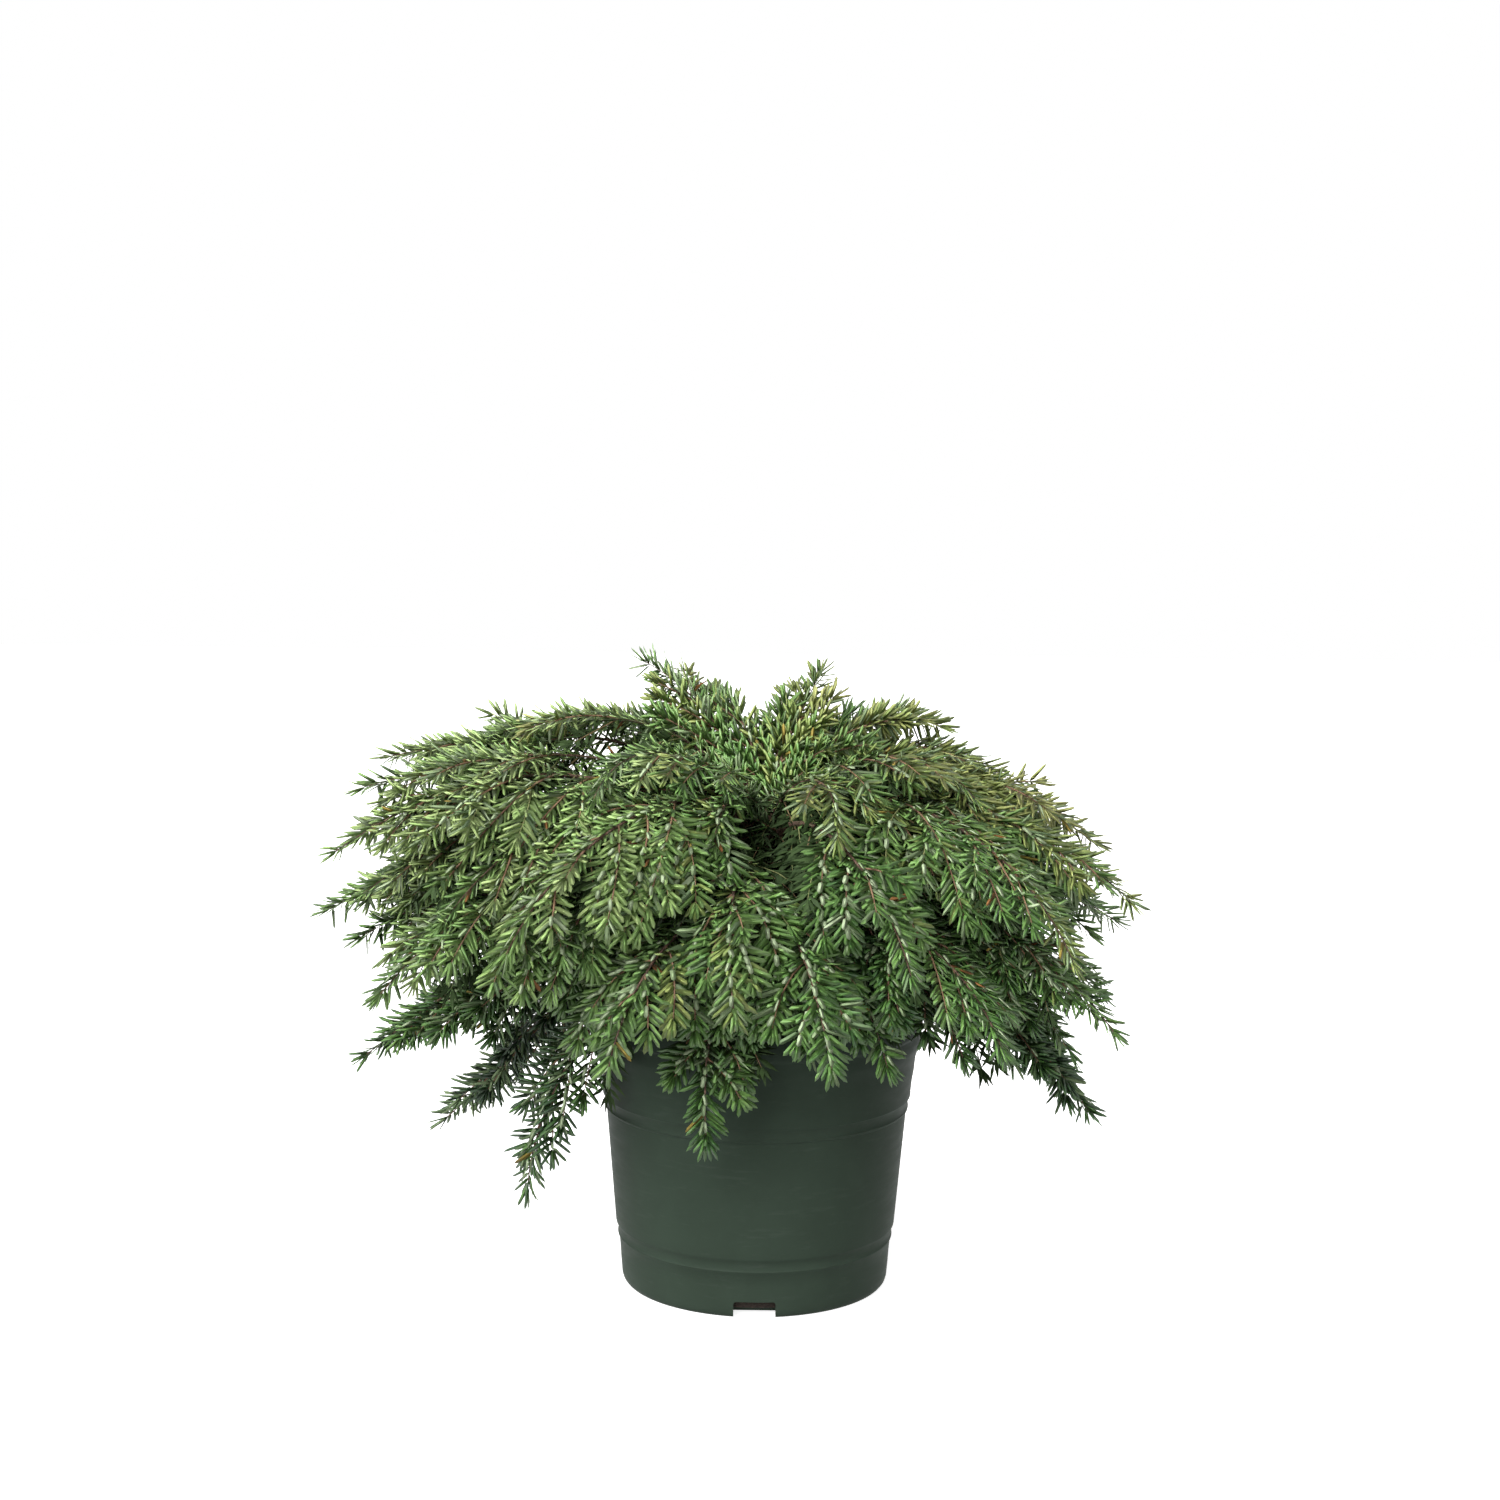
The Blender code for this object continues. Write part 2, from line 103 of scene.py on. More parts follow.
# Thin limbs of the nest round the trunk's top, and between the masses at the sides.
NEST = (
    ("nest_1", 214, 258, 112, 284, 58, -62, 5, 26, 6),
    ("nest_2", 296, 258, 104, 268, 60, -70, -5, 26, 6),
    ("nest_3", 338, 259, 124, 282, 54, -50, 5, 27, 6),
    ("nest_4", 180, 259, 146, 310, 61, -22, -4, 24, 6),
    ("nest_5", 52, 258, 112, 292, 56, -40, 5, 28, 6),
    ("nest_6", 134, 258, 112, 300, 56, -38, 5, 28, 6),
    ("nest_7", 60, 262, 30, 326, 84, 62, 4, 16, 0),
    ("nest_8", 18, 262, 54, 322, 76, 38, 4, 16, 0),
    ("spray_1", 190, 240, 220, 286, 52, -14, 4, 24, 46),
    ("spray_2", 348, 240, 208, 229, 52, -40, -4, 30, 46),
    ("spray_3", 212, 234, 200, 224, 52, -48, 4, 34, 44),
    ("spray_4", 296, 186, 138, 152, 44, -76, 5, 28, 46),
    ("spray_5", 2, 250, 150, 274, 54, -36, -4, 26, 6),
    ("spray_6", 347, 186, 178, 144, 38, -54, -4, 30, 46),
    ("spray_7", 281, 182, 120, 160, 44, -78, 3, 26, 46),
    ("spray_8", 200, 224, 228, 234, 46, -34, 4, 28, 46),
    ("spray_9", 356, 216, 184, 206, 38, -44, -4, 28, 46),
    ("spray_10", 188, 208, 222, 202, 36, -28, 4, 26, 46),
    ("spray_11", 7, 254, 134, 290, 60, -30, -4, 26, 6),
    ("spray_12", 88, 244, 172, 240, 52, -44, 4, 32, 40),
    ("spray_13", 148, 232, 184, 240, 44, -36, -4, 32, 40),
    ("spray_14", 34, 236, 180, 244, 48, -40, 4, 32, 40),
    ("spray_15", 106, 204, 200, 190, 38, -44, 4, 34, 44),
    ("spray_16", 52, 204, 198, 186, 38, -44, -4, 34, 44),
    ("spray_17", 156, 194, 200, 176, 36, -44, -4, 32, 44),
)

# ------------------------------------------------------------------ the growth rule
# How each tier's limbs branch: gap between branches, share of the mass's half width
# that they reach, how far they rise before they weep (deg), how much they weep, and
# the length of the tip without branches.
HABIT = {
    "leader": (0.0062, 0.72, 8, 0.050, 0.026),
    "crown": (0.0090, 0.86, 10, 0.080, 0.030),
    "nest": (0.0090, 1.00, 10, 0.110, 0.038),
    "spray": (0.0110, 0.90, 8, 0.110, 0.040),
    "upper": (0.0098, 1.05, 13, 0.110, 0.036),
    "middle": (0.0100, 1.05, 12, 0.110, 0.036),
    "lower": (0.0105, 0.90, 6, 0.060, 0.034),
}
SHOOT_GAP = 0.0150
TWIG_TIP = 0.038  # of a branch, without twigs
SHADE_GAP = 0.0056  # of the shaded shoots that hang from the limbs' undersides
# Gaps along a shoot between the needles of its flat rank, of those that stand over
# it, of those below it, and of the short ones that lie along it.
NEEDLE_GAP = 0.00168
BUSHY = (0.0, 0.5, 0.8)  # for shoots that are flat, half round and round with needles
STAND_GAP = (0.0085, 0.0034, 0.0026)
BELOW_GAP = (0.0120, 0.0046, 0.0040)
UPPER_GAP = 0.0062
NEEDLE_LONG = 0.0138
NEEDLE_WIDE = 0.00295
# Open places in the crown, into which no side shoot grows: middle and radius.
HOLLOWS = (
    (0.006, -0.085, 0.268, 0.024),
    (0.010, -0.118, 0.262, 0.022),
    (0.008, -0.055, 0.274, 0.020),
    # the gap of sky below the left shoulder
    (-0.080, -0.090, 0.313, 0.0165),
    (-0.082, -0.060, 0.309, 0.0165),
    (-0.083, -0.030, 0.305, 0.0165),
    (-0.085, 0.000, 0.301, 0.0165),
    (-0.087, 0.030, 0.297, 0.0165),
    (-0.088, 0.060, 0.294, 0.017),
    (-0.090, 0.090, 0.290, 0.017),
    (-0.091, 0.120, 0.286, 0.017),
    # the dip between the crown's two tufts, and the even slopes of the shoulders
    (0.002, -0.010, 0.338, 0.009),
    (0.002, 0.020, 0.336, 0.009),
    (0.002, 0.050, 0.333, 0.009),
    (-0.147, 0.005, 0.334, 0.018),
    (0.160, 0.000, 0.296, 0.014),
)


def trunk_axis(z):
    up = np.clip((z - SOIL_TOP) / (TRUNK_TOP - SOIL_TOP), 0.0, 1.0)
    bow = 0.0025 * math.sin(math.pi * up)
    return np.array([TRUNK_LEAN[0] * up - bow, TRUNK_LEAN[1] * up + bow, z])


def trunk_radius(z):
    up = np.clip((z - SOIL_TOP) / (TRUNK_TOP - SOIL_TOP), 0.0, 1.0)
    flare = (FLARE_R - TRUNK_R) * math.exp(-(z - SOIL_TOP) / 0.0065)
    return TRUNK_R + (TRUNK_TIP_R - TRUNK_R) * up + max(flare, 0.0)


def resampled(points, count):
    steps = np.linalg.norm(np.diff(points, axis=0), axis=1)
    along = np.concatenate([[0], np.cumsum(steps)])
    wanted = np.linspace(0, along[-1], count)
    return np.stack([np.interp(wanted, along, points[:, k]) for k in range(3)], axis=1)


def arch(row, count):
    """Points of a limb's arch from the trunk's middle to its tip, evenly spaced."""
    _, azimuth, start, reach, tip, rise, fall, sweep, _, _ = row
    foot = np.array([0.0, start / 1000])
    end = np.array([reach / 1000, tip / 1000])
    handle = 0.42 * np.linalg.norm(end - foot)
    rise, fall = math.radians(rise), math.radians(fall)
    a = foot + handle * np.array([math.cos(rise), math.sin(rise)])
    b = end - handle * np.array([math.cos(fall), math.sin(fall)])
    t = np.linspace(0, 1, 400)[:, None]
    flat = (
        foot * (1 - t) ** 3
        + 3 * a * t * (1 - t) ** 2
        + 3 * b * t**2 * (1 - t)
        + end * t**3
    )
    turn = math.radians(azimuth) + math.radians(sweep) * (t[:, 0] ** 2 - 0.35)
    base = trunk_axis(start / 1000)
    points = np.stack(
        [
            base[0] * (1 - t[:, 0]) + flat[:, 0] * np.cos(turn),
            base[1] * (1 - t[:, 0]) + flat[:, 0] * np.sin(turn),
            flat[:, 1],
        ],
        axis=1,
    )
    return resampled(points, count)


def unit(v):
    return v / np.maximum(np.linalg.norm(v, axis=-1, keepdims=True), 1e-9)


def headings(points):
    return unit(np.gradient(points, axis=0))


def carried(points, first):
    """The upper side along a line, carried on from its first direction without twist."""
    ahead = headings(points)
    ups = np.empty_like(points)
    up = first
    for i, d in enumerate(ahead):
        up = up - d * (up @ d)
        up = up / max(np.linalg.norm(up), 1e-9)
        ups[i] = up
    return ups


def rolled(points, ups, angle):
    """Upper sides turned about the line."""
    ahead = headings(points)
    return ups * math.cos(angle) + np.cross(ahead, ups) * math.sin(angle)


class Shoot:
    """A limb, branch or shoot: its line, its upper side, its length and what it carries."""

    def __init__(self, points, ups, order, thick, plume, spray, parent=None):
        self.points = points
        self.ups = ups
        self.ahead = headings(points)
        self.order = order
        self.thick = thick
        self.plume = plume
        self.spray = spray
        self.parent = parent
        legs = np.linalg.norm(np.diff(points, axis=0), axis=1)
        self.along = np.concatenate([[0], np.cumsum(legs)])
        self.length = float(self.along[-1])
        self.leafy_from = 0.003
        self.shaded = False

    def face_out(self):
        """Low shoots beside the pot turn their flat side to the front or the back."""
        x, y, z = self.points[len(self.points) // 2]
        turn = 0.75 * np.clip((0.19 - z) / 0.05, 0, 1) * np.clip(abs(x) / 0.06 - 1, 0, 1)
        if turn > 0:
            side = np.array([0.0, -1.0 if y < 0.03 else 1.0, 0.0])
            ups = self.ups * (1 - turn) + side * turn
            self.ups = unit(ups - self.ahead * (ups * self.ahead).sum(-1, keepdims=True))

    def at(self, s):
        """Points, headings and upper sides at distances along the shoot."""
        s = np.atleast_1d(s)

        def mixed(rows):
            return np.stack([np.interp(s, self.along, rows[:, k]) for k in range(3)], axis=1)

        ahead = unit(mixed(self.ahead))
        ups = mixed(self.ups)
        ups = unit(ups - ahead * (ups * ahead).sum(-1, keepdims=True))
        return mixed(self.points), ahead, ups


def frontness(point):
    """One in the middle of the crown's front and back, where shoots hang, nought at its ends."""
    x, y, _ = point
    return float(np.clip(abs(y) / 0.09 - 0.3, 0, 1) * np.clip(1.7 - abs(x) / 0.10, 0, 1))


def grown(start, heading, up, length, pull, draw, sag, wobble, chance):
    """A shoot's line and upper side: it sets out along heading, is drawn towards pull, and bows down."""
    steps = int(np.clip(round(length / 0.0052), 4, 16))
    step = length / steps
    points, ups = [start], [up]
    d, p = heading / np.linalg.norm(heading), start
    drift = chance.normal(0, 1, 3) * wobble
    front = frontness(start + d * length * 0.5)
    outer = 0.45 if start[1] > 0.02 else -0.80
    facing = np.array([d[0], d[1] + outer, 0.0]) + UP * 0.6
    facing = facing * (1 - front) + (unit(start * np.array([0.4, 1.0, 0.0])) + UP * 0.35) * front
    hold = 0.92 - 0.06 * front
    for k in range(steps):
        drift = 0.7 * drift + chance.normal(0, 1, 3) * wobble * 0.5
        weep = sag * (0.5 + 1.1 * (k + 0.5) / steps) * (1 + 0.8 * frontness(p))
        d = d + (pull * draw + DOWN * weep + drift) * (step / 0.010)
        d = d / np.linalg.norm(d)
        up = up * hold + facing * (1 - hold)
        up = up - d * (up @ d)
        up = up / np.linalg.norm(up)
        p = p + d * step
        points.append(p)
        ups.append(up)
    return np.array(points), np.array(ups)


def kept_off_pot(points):
    """Shoots hang outside the pot's wall and lie over its rim, never through them."""
    z = points[:, 2]
    r = np.hypot(points[:, 0], points[:, 1])
    wall = np.interp(z, [0.0, 0.131, 0.139, 0.147], [0.0756, 0.0905, 0.0930, POT_TOP_R])
    inside = (z < POT_H + 0.004) & (r < wall + 0.0045) & (r > 0.070)
    out = np.where(inside, (wall + 0.0045) / np.maximum(r, 1e-6), 1.0)
    moved = points.copy()
    moved[:, 0] *= out
    moved[:, 1] *= out
    low = (r <= 0.070) & (z < SOIL_TOP + 0.006)
    moved[low, 2] = SOIL_TOP + 0.006
    return moved


def in_hollow(points):
    return any(
        np.linalg.norm(points - np.array(hollow[:3]), axis=1).min() < hollow[3]
        for hollow in HOLLOWS
    )


def side_shoots(parent, chance, gap, first, angle, lengths, thick, draw, sag, last, lift=3):
    """Side shoots left and right by turns along a parent, and on a limb some on top."""
    made = []
    gap = gap * (1 + 0.15 * frontness(parent.points[-1]))
    s = first + chance.uniform(0, gap)
    side = 1 if chance.uniform() < 0.5 else -1
    end = parent.length - last
    while s < end:
        length = lengths(s, side)
        if length > 0.007:
            (start,), (ahead,), (up,) = parent.at(s)
            across = np.cross(ahead, up) * side
            lean = math.radians(angle(s) + chance.normal(0, 7))
            rise = lift * (1 - 0.75 * s / parent.length) if parent.order == 0 else lift
            tilt = math.radians(chance.normal(rise, 5 + 0.35 * rise))
            if parent.order == 0 and lift > 12 and chance.uniform() < 0.14:
                tilt = math.radians(chance.uniform(30, 55))
                length = min(length, 0.028)
            out = across * math.cos(tilt) + up * math.sin(tilt)
            heading = ahead * math.cos(lean) + out * math.sin(lean)
            (_,), (pull,), _ = parent.at(min(s + length, parent.length))
            points, ups = grown(
                start, heading, up, length, pull, draw, sag, 0.034, chance
            )
            points = kept_off_pot(points)
            if in_hollow(points):
                s += gap * chance.uniform(0.8, 1.25)
                side = -side
                continue
            spray = parent.spray if parent.order else (parent.spray[0], len(made))
            ups = rolled(points, ups, math.radians(chance.normal(0, 12)))
            shoot = Shoot(points, ups, parent.order + 1, thick, parent.plume, spray, parent)
            made.append(shoot)
        s += gap * chance.uniform(0.8, 1.25)
        side = -side
    return made


def shade_shoots(limb, chance, entry):
    """Shoots that hang in the shade below a limb and close the crown from inside."""
    made = []
    s = max(entry - 0.022, 0.004)
    low = ROWS[limb.plume][0].startswith("lower")
    while s < (limb.length * 0.6 if low else limb.length - 0.060):
        (start,), (ahead,), (up,) = limb.at(s)
        across = np.cross(ahead, up)
        turn = math.radians(chance.uniform(-105, 105))
        hang = across * math.sin(turn) - up * math.cos(turn)
        heading = ahead * 0.55 + unit(hang + DOWN * 0.35)
        length = chance.uniform(0.028, 0.050) * min(1.0, 0.70 + s / 0.20)
        points, ups = grown(start, heading, up, length, ahead, 0.10, 0.07, 0.03, chance)
        points = kept_off_pot(points)
        s += SHADE_GAP * chance.uniform(0.7, 1.3)
        if not in_hollow(points):
            shoot = Shoot(points, ups, 2, 0.0007, limb.plume, (limb.plume, -1), limb)
            shoot.shaded = True
            made.append(shoot)
    return made


def plume_of(index, row):
    """A limb with its branches and shoots."""
    name, half_width, start = row[0], row[8] / 1000, row[9] / 1000
    gap, share, lift, weep, tip = HABIT[name.split("_")[0]]
    airy = name in ("lower_1", "lower_3")
    gap *= 1.15 if airy else 1.0
    chance = np.random.default_rng(1009 + 17 * index)
    line = arch(row, 73)
    out = unit(np.array([line[-1, 0] - line[0, 0], line[-1, 1] - line[0, 1], 0.0]))
    up = UP * 0.9 - out * 0.45
    limb = Shoot(line, carried(line, up), 0, BOUGH_R, index, (index, 0))
    away = np.linalg.norm(line[:, :2] - line[0, :2], axis=1)
    entry = float(limb.along[int(np.argmax(away >= start))]) if start else 0.0
    limb.leafy_from = entry + (0.012 if start > 0.02 else 0.0)
    reach = limb.length - entry

    def spread(s, side):
        t = np.clip((s - entry) / reach, 0, 1)
        swell = math.sin(math.pi * min(t, 1) ** 0.66) ** 0.55 if 0 < t < 1 else 0.0
        wanted = share * half_width * swell * chance.uniform(1.05, 1.85) / 0.66
        rest = limb.length - s
        return min(max(wanted, 0.022), rest * (0.54 + 1.0 * rest) + 0.004)

    shoots = [limb]
    branches = side_shoots(
        limb,
        chance,
        gap,
        max(entry - 0.026, 0.006),
        lambda s: 56 - 18 * s / limb.length,
        spread,
        0.00085,
        0.150,
        weep,
        tip,
        lift,
    )
    shoots += branches
    if name.split("_")[0] in ("nest", "upper", "middle", "lower", "spray"):
        inner = shade_shoots(limb, chance, entry)
        shoots += inner[::3] if airy else inner
    for branch in branches:
        if branch.length < 0.020:
            continue
        twigs = side_shoots(
            branch,
            chance,
            SHOOT_GAP * (1.3 if airy else 1.0),
            0.008,
            lambda s: 46 - 8 * s / branch.length,
            lambda s, side: min(
                0.66 * (branch.length - s) + 0.004, 0.052
            ) * chance.uniform(0.78, 1.15),
            0.00062,
            0.26,
            0.075,
            TWIG_TIP,
        )
        shoots += twigs
        for twig in twigs:
            if twig.length > 0.046 and not airy:
                shoots += side_shoots(
                    twig,
                    chance,
                    0.015,
                    0.009,
                    lambda s: 42,
                    lambda s, side: 0.56 * (twig.length - s) + 0.004,
                    0.0005,
                    0.26,
                    0.07,
                    0.028,
                )
    for shoot in shoots:
        shoot.face_out()
    return shoots


def heart_shoots(chance):
    """Short shoots in the dark round the trunk's top."""
    made = []
    for _ in range(110):
        start = trunk_axis(chance.uniform(0.180, 0.258))
        turn = chance.uniform(0, 2 * math.pi)
        rise = math.radians(chance.uniform(-15, 50))
        heading = np.array(
            [math.cos(turn) * math.cos(rise), math.sin(turn) * math.cos(rise), math.sin(rise)]
        )
        up = np.array([-math.cos(turn) * math.sin(rise), -math.sin(turn) * math.sin(rise), math.cos(rise)])
        points, ups = grown(
            start, heading, up, chance.uniform(0.045, 0.080), heading, 0.1, 0.03, 0.03, chance
        )
        if not in_hollow(points):
            shoot = Shoot(points, ups, 2, 0.0008, 0, (0, -2))
            shoot.leafy_from = 0.014
            shoot.shaded = True
            made.append(shoot)
    return made


ROWS = PLUMES + NEST
plumes = [plume_of(i, row) for i, row in enumerate(ROWS)]
plumes[0] += heart_shoots(np.random.default_rng(77))

# ------------------------------------------------------------------ colours
GREENS = (
    # deep and bluish, painted shade for what hangs low and inside
    (0.038, 0.092, 0.036),
    (0.052, 0.132, 0.043),
    (0.078, 0.192, 0.052),
    # middle greens, for the front
    (0.110, 0.255, 0.057),
    (0.148, 0.318, 0.070),
    (0.192, 0.378, 0.090),
    (0.245, 0.435, 0.118),
    # olive, greyish and lighter, painted light for the top
    (0.320, 0.432, 0.116),
    (0.395, 0.478, 0.138),
    (0.475, 0.528, 0.165),
    (0.560, 0.590, 0.208),
)
UNDERSIDES = (
    (0.170, 0.270, 0.120),
    (0.320, 0.440, 0.220),
    (0.470, 0.585, 0.350),
)
# Painted light: lighter greyish greens for the shoots that spread to the left, where light falls.
PAINTED_LEFT_LIGHT = (
    (0.212, 0.395, 0.112),
    (0.315, 0.535, 0.155),
    (0.425, 0.640, 0.205),
    (0.535, 0.710, 0.265),
)
TINTS = (
    (0.400, 0.300, 0.055),  # yellowing needle
    (0.330, 0.140, 0.040),  # rust needle and bud scale
)
# Painted shade: dark greens for the needles that hang in the shade, without sheen.
SHADES = (
    (0.033, 0.058, 0.020),
    (0.045, 0.078, 0.026),
)
FIRST_UNDER = len(GREENS)
FIRST_TINT = FIRST_UNDER + len(UNDERSIDES)
FIRST_SHADE = FIRST_TINT + len(TINTS)
FIRST_PAINTED_LEFT_LIGHT = FIRST_SHADE + len(SHADES)


def plain(name, colour, roughness, specular=0.5):
    made = bpy.data.materials.new(name)
    made.use_nodes = True
    bsdf = made.node_tree.nodes["Principled BSDF"]
    bsdf.inputs["Base Color"].default_value = (*colour, 1.0)
    bsdf.inputs["Roughness"].default_value = roughness
    bsdf.inputs["Specular IOR Level"].default_value = specular
    made.diffuse_color = (*colour, 1.0)
    return made


needle_materials = [plain(f"needle_top_{i}", c, 0.36, 0.95) for i, c in enumerate(GREENS)]
needle_materials += [plain(f"needle_under_{i}", c, 0.55) for i, c in enumerate(UNDERSIDES)]
needle_materials += [plain(f"needle_tint_{i}", c, 0.55) for i, c in enumerate(TINTS)]
needle_materials += [plain(f"needle_shade_{i}", c, 0.65, 0.15) for i, c in enumerate(SHADES)]
# painted light: the lighter greens of the left
needle_materials += [plain(f"needle_fresh_{i}", c, 0.36, 0.95) for i, c in enumerate(PAINTED_LEFT_LIGHT)]


# ------------------------------------------------------------------ needles
STATIONS = (0.20, 0.84)
FOOT_WIDTH = 0.80
# Corners of a needle: foot, left and right at two stations, tip. The line from foot to
# tip is the ridge of its upper side.
CORNERS = 6
TOP_FACES = ((0, 5, 3, 1), (0, 2, 4, 5))
UNDER_FACES = ((0, 1, 2), (1, 3, 4, 2), (3, 5, 4))
# In the shade: foot, left and right at the widest place, and tip.
SHADE_TOP = ((0, 3, 1), (0, 2, 3))
SHADE_UNDER = ((0, 1, 3), (0, 3, 2))


def tip_taper(length, s):
    """One along a shoot, falling to nought over the last few millimetres."""
    near = np.clip((length - s) / 0.013, 0, 1)
    return near * (2 - near)


def loose(shoot):
    """How open the needles stand: nought in front, one where shoots hang low at the side."""
    x, _, z = shoot.points[len(shoot.points) // 2]
    return float(np.clip((0.20 - z) / 0.05, 0, 1) * np.clip(-x / 0.08 - 0.3, 0, 1))


def needle_kind(shoot):
    """Length, width and bluntness: long and pointed in the crown and low down, blunt in front."""
    low = loose(shoot)
    if ROWS[shoot.plume][0].split("_")[0] in ("leader", "crown"):
        return 1.08, 0.92, 0.62
    front = frontness(shoot.points[len(shoot.points) // 2])
    long = 1.10 - 0.10 * front
    return long + 0.04 * low, 0.87 + 0.13 * front - 0.03 * low, 0.52 + 0.23 * front


def needle_rows(shoot, chance):
    """Places along the shoot, feet, headings, upper sides, lengths, widths, and which lie turned over, of a
    shoot's needles.
    """
    length = shoot.length
    first = shoot.leafy_from
    leafy = length - first
    low = loose(shoot)
    # nought for a flat spray in front, one where the needles stand all round
    crown = ROWS[shoot.plume][0].split("_")[0] in ("leader", "crown")
    middle = shoot.points[len(shoot.points) // 2]
    ahead_of = np.clip(-middle[1] / 0.06, 0, 1) * np.clip(2.3 - abs(middle[0]) / 0.09, 0, 1)
    bushy = 0.74 if crown else 0.5 - 0.5 * max(frontness(middle), ahead_of)
    spiky = 1 - frontness(middle)
    # limbs' and branches' needles stand closer towards the tip
    crowd = (0.70, 0.85, 1.0, 1.0)[shoot.order]
    ranks = []

    # the flat rank, left and right by turns
    thinned = (1.35 if shoot.shaded else 1.0) * (1 + 0.15 * low)
    count = max(int(leafy / (NEEDLE_GAP * thinned * (1.10 + 0.20 * bushy))), 2)
    s = first + (np.arange(count) + chance.uniform(-0.3, 0.3, count)) * leafy / count
    s = first + leafy * np.clip((s - first) / leafy, 0, 1) ** crowd
    near_tip = tip_taper(length, s)
    roll = chance.normal(9, 8 + 24 * bushy - 8 * low, count)
    wild = chance.uniform(size=count) < 0.05
    roll = np.where(wild, chance.uniform(-70, 85, count), roll)
    ranks.append(
        (
            s,
            np.where(np.arange(count) % 2 == 0, 1.0, -1.0),
            30 + 4 * spiky + (22 + 10 * low - 11 * spiky) * near_tip + chance.normal(0, 7, count),
            roll,
            (0.84 + 0.20 * near_tip) * chance.uniform(0.80, 1.12, count),
            np.zeros(count),
        )
    )

    # needles that stand over the shoot, and those below it
    for gap, low_roll, high_roll, lean, open_lean in (
        (STAND_GAP, 26, 86, 24 + 8 * spiky, 22 - 6 * spiky),
        (BELOW_GAP, -80, -24, 24 + 28 * spiky, 32 - 18 * spiky),
    ):
        gap = float(np.interp(bushy, BUSHY, gap))
        count = int(leafy / (gap * thinned * (1 + 1.2 * low)))
        s = (np.arange(count) + chance.uniform(0.0, 0.9, count)) * leafy / max(count, 1)
        s = np.minimum(first + leafy * (s / leafy) ** crowd, length - 0.002)
        near_tip = tip_taper(length, s)
        ranks.append(
            (
                s,
                chance.choice([-1.0, 1.0], count),
                lean + open_lean * near_tip + chance.normal(0, 9, count),
                chance.uniform(low_roll, high_roll, count),
                (0.66 + 0.06 * spiky + (0.08 + 0.24 * bushy) * near_tip)
                * chance.uniform(0.76, 1.12, count),
                np.zeros(count),
            )
        )

    # the short upper rank that lies along the twig, pale side up
    if not shoot.shaded:
        gap = UPPER_GAP * (1 + 0.5 * bushy) * chance.choice([0.95, 1.2, 2.2])
        count = int(leafy / gap)
        s = first + (np.arange(count) + chance.uniform(0.1, 0.7, count)) * gap
        ranks.append(
            (
                s,
                np.where(np.arange(count) % 2 == 0, 1.0, -1.0),
                np.abs(chance.normal(10, 7, count)) + 3,
                chance.uniform(20, 80, count),
                chance.uniform(0.44, 0.60, count),
                np.ones(count),
            )
        )

    # the fan at the tip
    count = 4
    ranks.append(
        (
            np.full(count, length - 0.0006),
            np.array([-1.0, 1.0, 1.0, -1.0]),
            np.array([24, 27, 6, 12]) + chance.normal(0, 5, count),
            chance.normal(15, 34, count),
            chance.uniform(0.60, 0.86, count) + 0.08 * spiky,
            np.zeros(count),
        )
    )
    s, side, lean, roll, size, upper = (np.concatenate(c) for c in zip(*ranks))
    lean, roll, upper = np.radians(lean), np.radians(roll), upper > 0.5
    size = size * NEEDLE_LONG * np.clip(0.62 + (s - first) / 0.012, 0.62, 1.0)

    at, ahead, up = shoot.at(s)
    at = at + up * np.where(upper, 0.0024, 0.0)[:, None]
    across = np.cross(ahead, up) * side[:, None]
    out = across * np.cos(roll)[:, None] + up * np.sin(roll)[:, None]
    heading = ahead * np.cos(lean)[:, None] + out * np.sin(lean)[:, None]
    level = 1 - np.abs(ahead[:, 2])
    droop = np.abs(chance.normal(0.10, 0.08, len(s))) * level
    heading = unit(heading + DOWN * droop[:, None])
    standing = np.abs(np.sin(roll))[:, None]
    outer = np.where(at[:, 1:2] > 0.02, 1.0, -1.0) * np.array([0.0, 0.9, 0.0])
    normal = up - across * np.sin(roll)[:, None] * 0.45 + outer * standing
    normal = np.where(upper[:, None], up, normal)
    normal = unit(normal - heading * (normal * heading).sum(-1, keepdims=True))
    twist = chance.normal(0, 0.20, len(s))[:, None]
    normal = normal * np.cos(twist) + np.cross(heading, normal) * np.sin(twist)
    falling = np.clip(-ahead[:, 2] * 1.5, 0, 1)
    turned_over = upper & (chance.uniform(size=len(s)) < 0.12 + 0.83 * falling)
    normal = np.where(turned_over[:, None], -normal, normal)
    wide = NEEDLE_WIDE * chance.uniform(0.85, 1.12, len(s)) * (1 + 0.12 * tip_taper(length, s))
    return s, at, heading, normal, size, wide, turned_over


